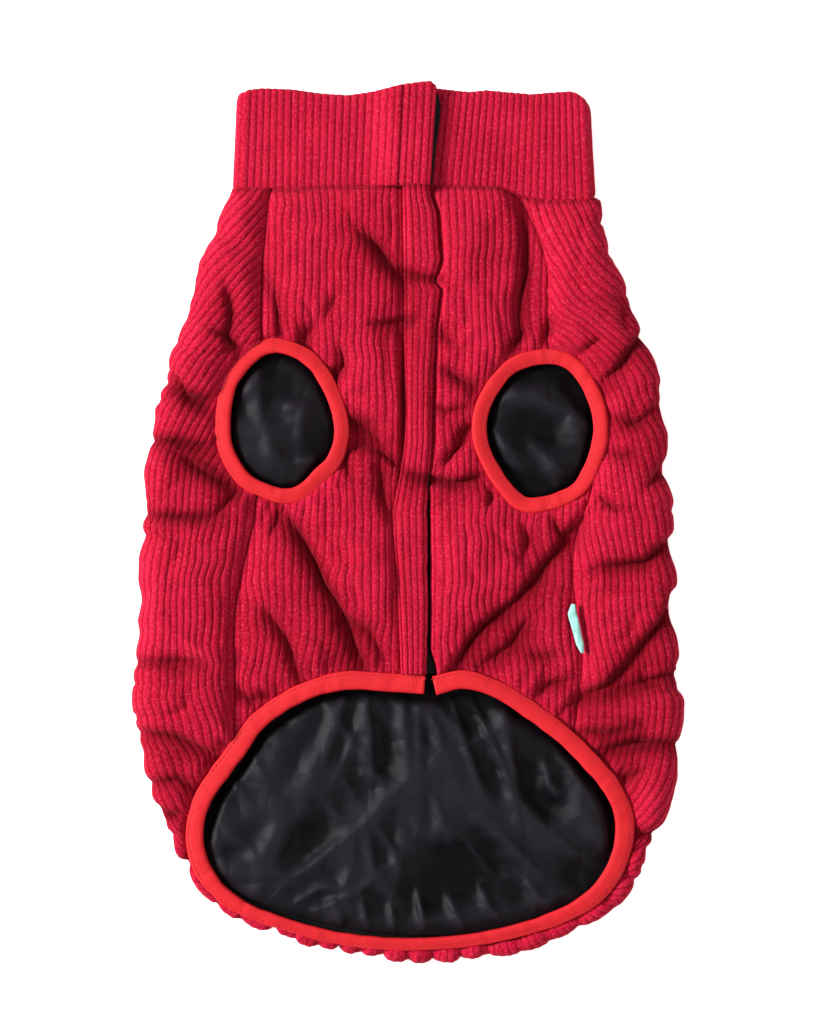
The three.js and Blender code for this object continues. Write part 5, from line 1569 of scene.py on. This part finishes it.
class COAT_OT_back_panel(bpy.types.Operator):
    """Make the back panel, rolled up over both sides and the hem"""

    bl_idname = "coat.back_panel"
    bl_label = "Back panel"

    def execute(self, context):
        rows = steps(*PATTERN_ENDS, ROW)
        outer = trimmed_grid(
            rib_columns(-PATTERN_HALF, PATTERN_HALF), rows, lambda u, v: back_keep(u, v, False))
        inner = trimmed_grid(
            steps(-PATTERN_HALF, PATTERN_HALF, PLAIN), steps(*PATTERN_ENDS, PLAIN),
            lambda u, v: back_keep(u, v, True))
        wall = Wall(
            close_middle(Patch(outer, lambda u, v: back_surface(u, v, False), True), 0.0),
            close_middle(Patch(inner, lambda u, v: back_surface(u, v, True), True), size("wall")),
        )
        piece = cloth_piece("back_panel_cloth", wall, "back_panel")
        return {"FINISHED"}


class COAT_OT_back_lining(bpy.types.Operator):
    """Make the nylon lining inside the back panel"""

    bl_idname = "coat.back_lining"
    bl_label = "Back lining"

    def execute(self, context):
        def keep(x, y):
            return np.minimum(-BODY_LINE.nearest(x, y)[2] - LINING_INSET, LINING_TOP - y)

        def top(x, y):
            depth, pull_x, pull_y = crease_field(LINING_FOLDS, x, y)
            edge = keep(x, y)
            _, _, inside, along = HEM_LINE.nearest(x, y)
            rise = LINING_RISE * (1 - smooth(0, LINING_EDGE, edge)) * smooth(-60, -90, y)
            _, _, leg_left, _ = LEG_LINES[0].nearest(x, y)
            _, _, leg_right, _ = LEG_LINES[1].nearest(x, y)
            in_hem = smooth(-2, -12, inside)
            seen = np.maximum(in_hem, smooth(0, -8, np.minimum(leg_left, leg_right)))
            fan = np.arctan2(x, -(y + 20)) * 105
            spread = lumps(fan, y * 0.16, 9, 12) * smooth(-205, -150, y)
            narrow = mix(1.4, 2.6, smooth(-95, -150, y))
            ridges = np.maximum(0, 1 - narrow * np.abs(lumps(fan * 1.1, y * 0.14, 14, 14))) ** 1.1
            radial = lumps(along, inside * 0.25, 8, 17) * np.exp(np.minimum(inside, 0) / 13)
            others = np.maximum(0, 1 - 2.0 * np.abs(lumps(x + 0.7 * y, y * 0.5 - x * 0.35, 19, 18))) ** 1.1
            waves = LINING_SWELL * lumps(x, y * 0.7, 24, 11) + 0.35 * lumps(x + 0.5 * y, y, 6.2, 13)
            radial *= smooth(4, 18, np.hypot(x - 10, y + 80))
            ridges *= smooth(-200, -140, y) * smooth(-82, -112, y)
            folds = in_hem * (0.8 * spread + 3.2 * ridges + 1.4 * radial)
            raw = seen * (waves + folds + 2.4 * others - 1.5 * depth + 1.2) + rise - LINING_SINK
            z = LINING_Z[1] + LINING_MIDDLE + LINING_REACH * np.tanh(raw / LINING_REACH)
            fade = 0.4 * smooth(0, PULL_FADE, edge)
            return np.stack([x + pull_x * fade, y + pull_y * fade, z], axis=-1)

        across, fine, wide, beneath = LINING_STEPS
        end = LINING_TOP + 4
        rows = np.concatenate([steps(LINING_LOW, LINING_FINE, fine), steps(LINING_FINE, end, wide)[1:]])
        outer = trimmed_grid(steps(-LINING_HALF, LINING_HALF, across), rows, keep)
        inner = trimmed_grid(
            steps(-LINING_HALF, LINING_HALF, beneath), steps(LINING_LOW, end, beneath), keep)
        under = lambda x, y: np.stack([x, y, np.full_like(x, LINING_Z[0])], axis=-1)
        wall = Wall(Patch(outer, top), Patch(inner, under))
        piece = make_mesh(
            "back_lining_cloth", wall.points, wall.triangles, wall.pattern, [back_lining_material()])
        # Painted light on the lining's high folds and painted shade in its low hollows, by height
        mark(piece, clamp((LINING_SHADE[0] - wall.points[:, 2]) / LINING_SHADE[1]))
        dress(piece, "back_lining")
        return {"FINISHED"}


class COAT_OT_belly(bpy.types.Operator):
    """Make the two belly panels"""

    bl_idname = "coat.belly"
    bl_label = "Belly panels"

    def execute(self, context):
        left = flat_panel(
            ((-92, 0), (-114, 172)), left_keep, lambda x, y: belly_surface(x, y, left_keep), BELLY_Z[0])
        piece = cloth_piece("belly_left_cloth", left, "belly_left")

        def lowered(x, y):
            made = belly_surface(x, y, right_keep)
            beside = np.maximum(made[..., 0] - read(STRIP, "y", y, "right") - GAP, 0)
            highest = STRIP_Z[1] - UNDER_STRIP + 0.6 * beside + 0.4 * beside**2
            made[..., 2] = np.minimum(made[..., 2], highest)
            return made

        right = flat_panel(((5, 96), (-114, 172)), right_keep, lowered, BELLY_Z[0])
        piece = cloth_piece("belly_right_cloth", right, "belly_right")
        return {"FINISHED"}


class COAT_OT_placket(bpy.types.Operator):
    """Make the stitched front strip over the closure"""

    bl_idname = "coat.placket"
    bl_label = "Front strip"

    def execute(self, context):
        pattern_width = STRIP_RIBS * size("wale")
        left = lambda y: read(STRIP, "y", y, "left")
        right = lambda y: read(STRIP, "y", y, "right") + 0.25 * lumps(y, 0 * y, 6, 21)

        def top(x, y, share):
            rise = shoulder(share * STRIP_WIDTH / 4) * swell((1 - share) * STRIP_WIDTH / STRIP_SOFT)
            height = mix(STRIP_Z[2] - 0.4, STRIP_Z[3], rise)
            depth = np.minimum(crease_field(CREASES, x, y)[0], STRIP_CREASE)
            line = STRIP_GROOVE * np.exp(-((share * STRIP_WIDTH - STRIP_STITCH) ** 2) / 0.5)
            pile = 0.85 * rib(share * pattern_width, y) * smooth(0, 0.04, np.minimum(share, 1 - share))
            return height - depth + pile - line + 0.5 * lumps(x, y, 11, 22)

        def bottom(x, y, share):
            return mix(STRIP_Z[0], STRIP_Z[1], smooth(left(y) + 2, left(y) + 7, x))

        ends = (HEM_TOP, neck_line(0) - GAP)
        wall = strip_wall(ends, left, right, STRIP_RIBS * COLUMNS_PER_RIB, 1.2, top, bottom)
        wall.pattern = wall.pattern * [pattern_width, 1]
        piece = cloth_piece("placket_cloth", wall, "placket")
        return {"FINISHED"}


class COAT_OT_tapes(bpy.types.Operator):
    """Make the hook tapes of the front and the collar"""

    bl_idname = "coat.tapes"
    bl_label = "Hook tapes"

    def execute(self, context):
        left = lambda y: read(STRIP, "y", y, "left") + TAPE_FROM
        right = lambda y: read(STRIP, "y", y, "panel") - TAPE_GAP
        hooks = lambda x, y: HOOK * lumps(x * 4, y * 4, 3, 31)
        front = strip_wall(
            (HEM_TOP, neck_line(0) - GAP), left, right, 12, 1.0,
            lambda x, y, share: TAPE_Z[1] - HOOK_GROUND + hooks(x, y),
            lambda x, y, share: TAPE_Z[0] + 0 * x)
        piece = make_mesh(
            "closure_tape_hooks", front.points, front.triangles, front.points[:, :2], [hook_material()])
        dress(piece, "closure_tape")

        line = lambda side: lambda y: read(COLLAR_TAPE, "y", y, side)
        low = 2 * COLLAR_STEP
        short = strip_wall(
            COLLAR_TAPE_ENDS, line("left"), line("right"), 5, 0.8,
            lambda x, y, share: low + COLLAR_TAPE_Z[1] + 0.5 * hooks(x, y),
            lambda x, y, share: low + COLLAR_TAPE_Z[0] + 0 * x)
        piece = make_mesh(
            "collar_tape_hooks", short.points, short.triangles, short.points[:, :2], [hook_material()])
        dress(piece, "collar_tape")
        return {"FINISHED"}


class COAT_OT_collar(bpy.types.Operator):
    """Make the standing collar"""

    bl_idname = "coat.collar"
    bl_label = "Collar"

    def execute(self, context):
        piece = cloth_piece("collar_cloth", collar_wall(), "collar")
        return {"FINISHED"}


class COAT_OT_bindings(bpy.types.Operator):
    """Make the bindings of the leg holes and the hem"""

    bl_idname = "coat.bindings"
    bl_label = "Bindings"

    def execute(self, context):
        made = [
            ("leg_binding_left", Swept(LEG_LEFT, True, -1, 40), 0.25),
            ("leg_binding_right", Swept(LEG_RIGHT, True, -1, 50), 0.25),
            ("hem_binding", Swept(HEM, False, 1, 60), 0.64),
        ]
        for node, swept, length in made:
            piece = make_mesh(
                f"{node}_tape", swept.points.reshape(-1, 3), swept.wall(),
                swept.pattern.reshape(-1, 2), [binding_material()])
            dress(piece, node)
            stitch_row(f"{node}_stitches", swept.stitch_line(), swept.closed)
        return {"FINISHED"}


class COAT_OT_label(bpy.types.Operator):
    """Make the small folded tag, left plain"""

    bl_idname = "coat.label"
    bl_label = "Side tag"

    def execute(self, context):
        line = lambda side: lambda y: read(LABEL, "y", y, side)
        low = BELLY_Z[2] + LABEL_RISE

        def top(x, y, share):
            rounded = LABEL_Z[2] * swell(4 * share * (1 - share))
            wrinkles = 0.5 * lumps(x * 2.2, y, 4.2, 71) + 0.3 * lumps(x, y * 2, 3, 72)
            return low + LABEL_Z[1] + rounded + wrinkles

        wall = strip_wall(
            LABEL_ENDS, line("left"), line("right"), 10, 0.5,
            top, lambda x, y, share: low + LABEL_Z[0] + 0 * x)
        piece = make_mesh(
            "side_label_ribbon", wall.points, wall.triangles, wall.points[:, :2], [label_material()])
        dress(piece, "side_label")
        return {"FINISHED"}


def stitch_tree():
    """Geometry Nodes: stitches along a line, with named sizes and a seed."""
    known = bpy.data.node_groups.get("Stitches")
    if known:
        return known
    tree = bpy.data.node_groups.new("Stitches", "GeometryNodeTree")
    tree.interface.new_socket("Geometry", in_out="INPUT", socket_type="NodeSocketGeometry")
    tree.interface.new_socket("Geometry", in_out="OUTPUT", socket_type="NodeSocketGeometry")
    for label in ("Stitch", "Gap", "Thread"):
        tree.interface.new_socket(label, in_out="INPUT", socket_type="NodeSocketFloat")
    tree.interface.new_socket("Seed", in_out="INPUT", socket_type="NodeSocketInt")
    tree.interface.new_socket("Material", in_out="INPUT", socket_type="NodeSocketMaterial")
    given = add(tree, "NodeGroupInput").outputs
    curve = add(tree, "GeometryNodeMeshToCurve", {"Mesh": given["Geometry"]}).outputs[0]
    pitch = maths(tree, "ADD", given["Stitch"], given["Gap"])
    spacing = {"Curve": curve, "Length": pitch}
    marks = add(tree, "GeometryNodeResampleCurve", spacing, mode="LENGTH").outputs[0]
    tangent = add(tree, "GeometryNodeInputTangent").outputs[0]
    turn = add(tree, "FunctionNodeAlignRotationToVector", {"Vector": tangent}, axis="Z").outputs[0]
    uneven = add(tree, "FunctionNodeRandomValue", {2: 0.85, 3: 1.08, "Seed": given["Seed"]})
    half = maths(tree, "MULTIPLY", maths(tree, "MULTIPLY", given["Stitch"], 0.5), uneven.outputs[1])
    thick = maths(tree, "MULTIPLY", given["Thread"], 0.5)
    scale = add(tree, "ShaderNodeCombineXYZ", {"X": thick, "Y": thick, "Z": half}).outputs[0]
    bead = add(tree, "GeometryNodeMeshUVSphere", {"Segments": 6, "Rings": 5, "Radius": 1.0}).outputs[0]
    soft = add(tree, "GeometryNodeSetShadeSmooth", {"Geometry": bead}).outputs[0]
    places = {"Points": marks, "Instance": soft, "Rotation": turn, "Scale": scale}
    placed = add(tree, "GeometryNodeInstanceOnPoints", places).outputs[0]
    real = add(tree, "GeometryNodeRealizeInstances", {"Geometry": placed}).outputs[0]
    covered = {"Geometry": real, "Material": given["Material"]}
    done = add(tree, "GeometryNodeSetMaterial", covered).outputs[0]
    add(tree, "NodeGroupOutput", {"Geometry": done})
    return tree


def stitch_row(name, line, closed, seed=1):
    """A row of stitches along a line in millimetres, as a plain mesh."""
    count = len(line)
    edges = [(i, i + 1) for i in range(count - 1)] + ([(count - 1, 0)] if closed else [])
    mesh = bpy.data.meshes.new(name)
    mesh.from_pydata((line * MM).tolist(), edges, [])
    piece = bpy.data.objects.new(name, mesh)
    bpy.context.scene.collection.objects.link(piece)
    tree = stitch_tree()
    modifier = piece.modifiers.new("Stitches", "NODES")
    modifier.node_group = tree
    sizes = bpy.context.scene.coat_sizes
    given = {
        "Stitch": sizes.stitch,
        "Gap": sizes.stitch_gap,
        "Thread": sizes.thread,
        "Seed": seed,
        "Material": thread_material(),
    }
    for item in tree.interface.items_tree:
        if item.in_out == "INPUT" and item.name in given:
            modifier[item.identifier] = given[item.name]
    bpy.context.view_layer.update()
    graph = bpy.context.evaluated_depsgraph_get()
    made = bpy.data.meshes.new_from_object(piece.evaluated_get(graph))
    piece.modifiers.remove(modifier)
    piece.data = made
    made.name = name
    if not made.polygons:
        raise RuntimeError(f"{name} has no stitches")
    if "Pattern" not in made.uv_layers:
        made.uv_layers.new(name="Pattern")
    return dress(piece, None)


class COAT_OT_stitches(bpy.types.Operator):
    """Make the stitched lines of the front strip and the collar"""

    bl_idname = "coat.stitches"
    bl_label = "Stitches"

    def execute(self, context):
        y = steps(HEM_TOP + 1, neck_line(0) - 2, 2)
        x = read(STRIP, "y", y, "left") + 2.2
        depth = np.minimum(crease_field(CREASES, x, y)[0], STRIP_CREASE)
        z = STRIP_Z[2] + 1.15 - depth
        stitch_row("placket_stitches", np.stack([x, y, z], axis=1), False, 2)

        v = steps(0.05, STITCH_TOP, 0.03)
        p = np.full_like(v, STITCH_INSET)
        line = collar_place(p, v, COLLAR_WALL / 2 + 0.1 + 0 * p)
        p = np.linspace(STITCH_INSET, 1.5, 12)
        top = collar_place(p, np.full_like(p, STITCH_TOP), COLLAR_WALL / 2 + 0.1 + 0 * p)
        stitch_row("collar_stitches", np.vstack([line, top[1:]]), False, 3)
        return {"FINISHED"}


class COAT_OT_stage(bpy.types.Operator):
    """Make the camera, the floor and the lights"""

    bl_idname = "coat.stage"
    bl_label = "Stage"

    def execute(self, context):
        scene = context.scene
        scene.view_settings.view_transform = "Standard"
        data = bpy.data.cameras.new("camera")
        data.sensor_width = 36.0
        data.lens = data.sensor_width * (CAMERA_HEIGHT - COAT_LEVEL) / (PHOTO[1] * PIXEL * MM)
        camera = bpy.data.objects.new("camera", data)
        camera.location = (0, CAMERA_Y, CAMERA_HEIGHT)
        scene.collection.objects.link(camera)
        scene.camera = camera

        mesh = bpy.data.meshes.new("floor")
        signs = ((-1, -1), (1, -1), (1, 1), (-1, 1))
        corners = [(x * FLOOR_HALF, y * FLOOR_HALF, FLOOR_Z) for x, y in signs]
        mesh.from_pydata(corners, [], [(0, 1, 2, 3)])
        floor = bpy.data.objects.new("floor", mesh)
        material = bpy.data.materials.new("Floor")
        material.use_nodes = True
        shader = material.node_tree.nodes["Principled BSDF"]
        shader.inputs["Base Color"].default_value = (FLOOR_GREY, FLOOR_GREY, FLOOR_GREY, 1)
        shader.inputs["Roughness"].default_value = 0.9
        shader.inputs["Emission Color"].default_value = (1, 1, 1, 1)
        shader.inputs["Emission Strength"].default_value = FLOOR_GLOW
        mesh.materials.append(material)
        scene.collection.objects.link(floor)

        world = bpy.data.worlds.new("studio")
        world.use_nodes = True
        background = world.node_tree.nodes["Background"]
        background.inputs["Color"].default_value = (1, 1, 1, 1)
        background.inputs["Strength"].default_value = WORLD_LIGHT
        scene.world = world
        for name, place, width, power in LAMPS:
            light = bpy.data.lights.new(name, "AREA")
            light.size, light.energy = width, power
            lamp = bpy.data.objects.new(name, light)
            lamp.location = place
            lamp.rotation_euler = (-Vector(place)).to_track_quat("-Z", "Y").to_euler()
            scene.collection.objects.link(lamp)
        return {"FINISHED"}


OPERATORS = (
    COAT_OT_stage,
    COAT_OT_back_panel,
    COAT_OT_back_lining,
    COAT_OT_belly,
    COAT_OT_placket,
    COAT_OT_tapes,
    COAT_OT_collar,
    COAT_OT_bindings,
    COAT_OT_label,
    COAT_OT_stitches,
)


class VIEW3D_PT_coat(bpy.types.Panel):
    """The coat's pieces in the sidebar"""

    bl_idname = "VIEW3D_PT_coat"
    bl_label = "Dog coat"
    bl_space_type = "VIEW_3D"
    bl_region_type = "UI"
    bl_category = "Coat"

    def draw(self, context):
        for group_name in ("coat_sizes", "coat_colours"):
            values = getattr(context.scene, group_name)
            for name in values.__annotations__:
                self.layout.prop(values, name)
        for operator in OPERATORS:
            self.layout.operator(operator.bl_idname)


CLASSES = (CoatSizes, CoatColours, *OPERATORS, VIEW3D_PT_coat)


def register():
    for item in CLASSES:
        bpy.utils.register_class(item)
    bpy.types.Scene.coat_sizes = bpy.props.PointerProperty(type=CoatSizes)
    bpy.types.Scene.coat_colours = bpy.props.PointerProperty(type=CoatColours)


def unregister():
    del bpy.types.Scene.coat_colours
    del bpy.types.Scene.coat_sizes
    for item in reversed(CLASSES):
        bpy.utils.unregister_class(item)


def main():
    """Make the whole coat."""
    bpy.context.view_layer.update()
    register()
    bpy.ops.coat.stage()
    bpy.ops.coat.back_panel()
    bpy.ops.coat.back_lining()
    bpy.ops.coat.belly()
    bpy.ops.coat.placket()
    bpy.ops.coat.tapes()
    bpy.ops.coat.collar()
    bpy.ops.coat.bindings()
    bpy.ops.coat.label()
    bpy.ops.coat.stitches()


if __name__ == "__main__":
    main()
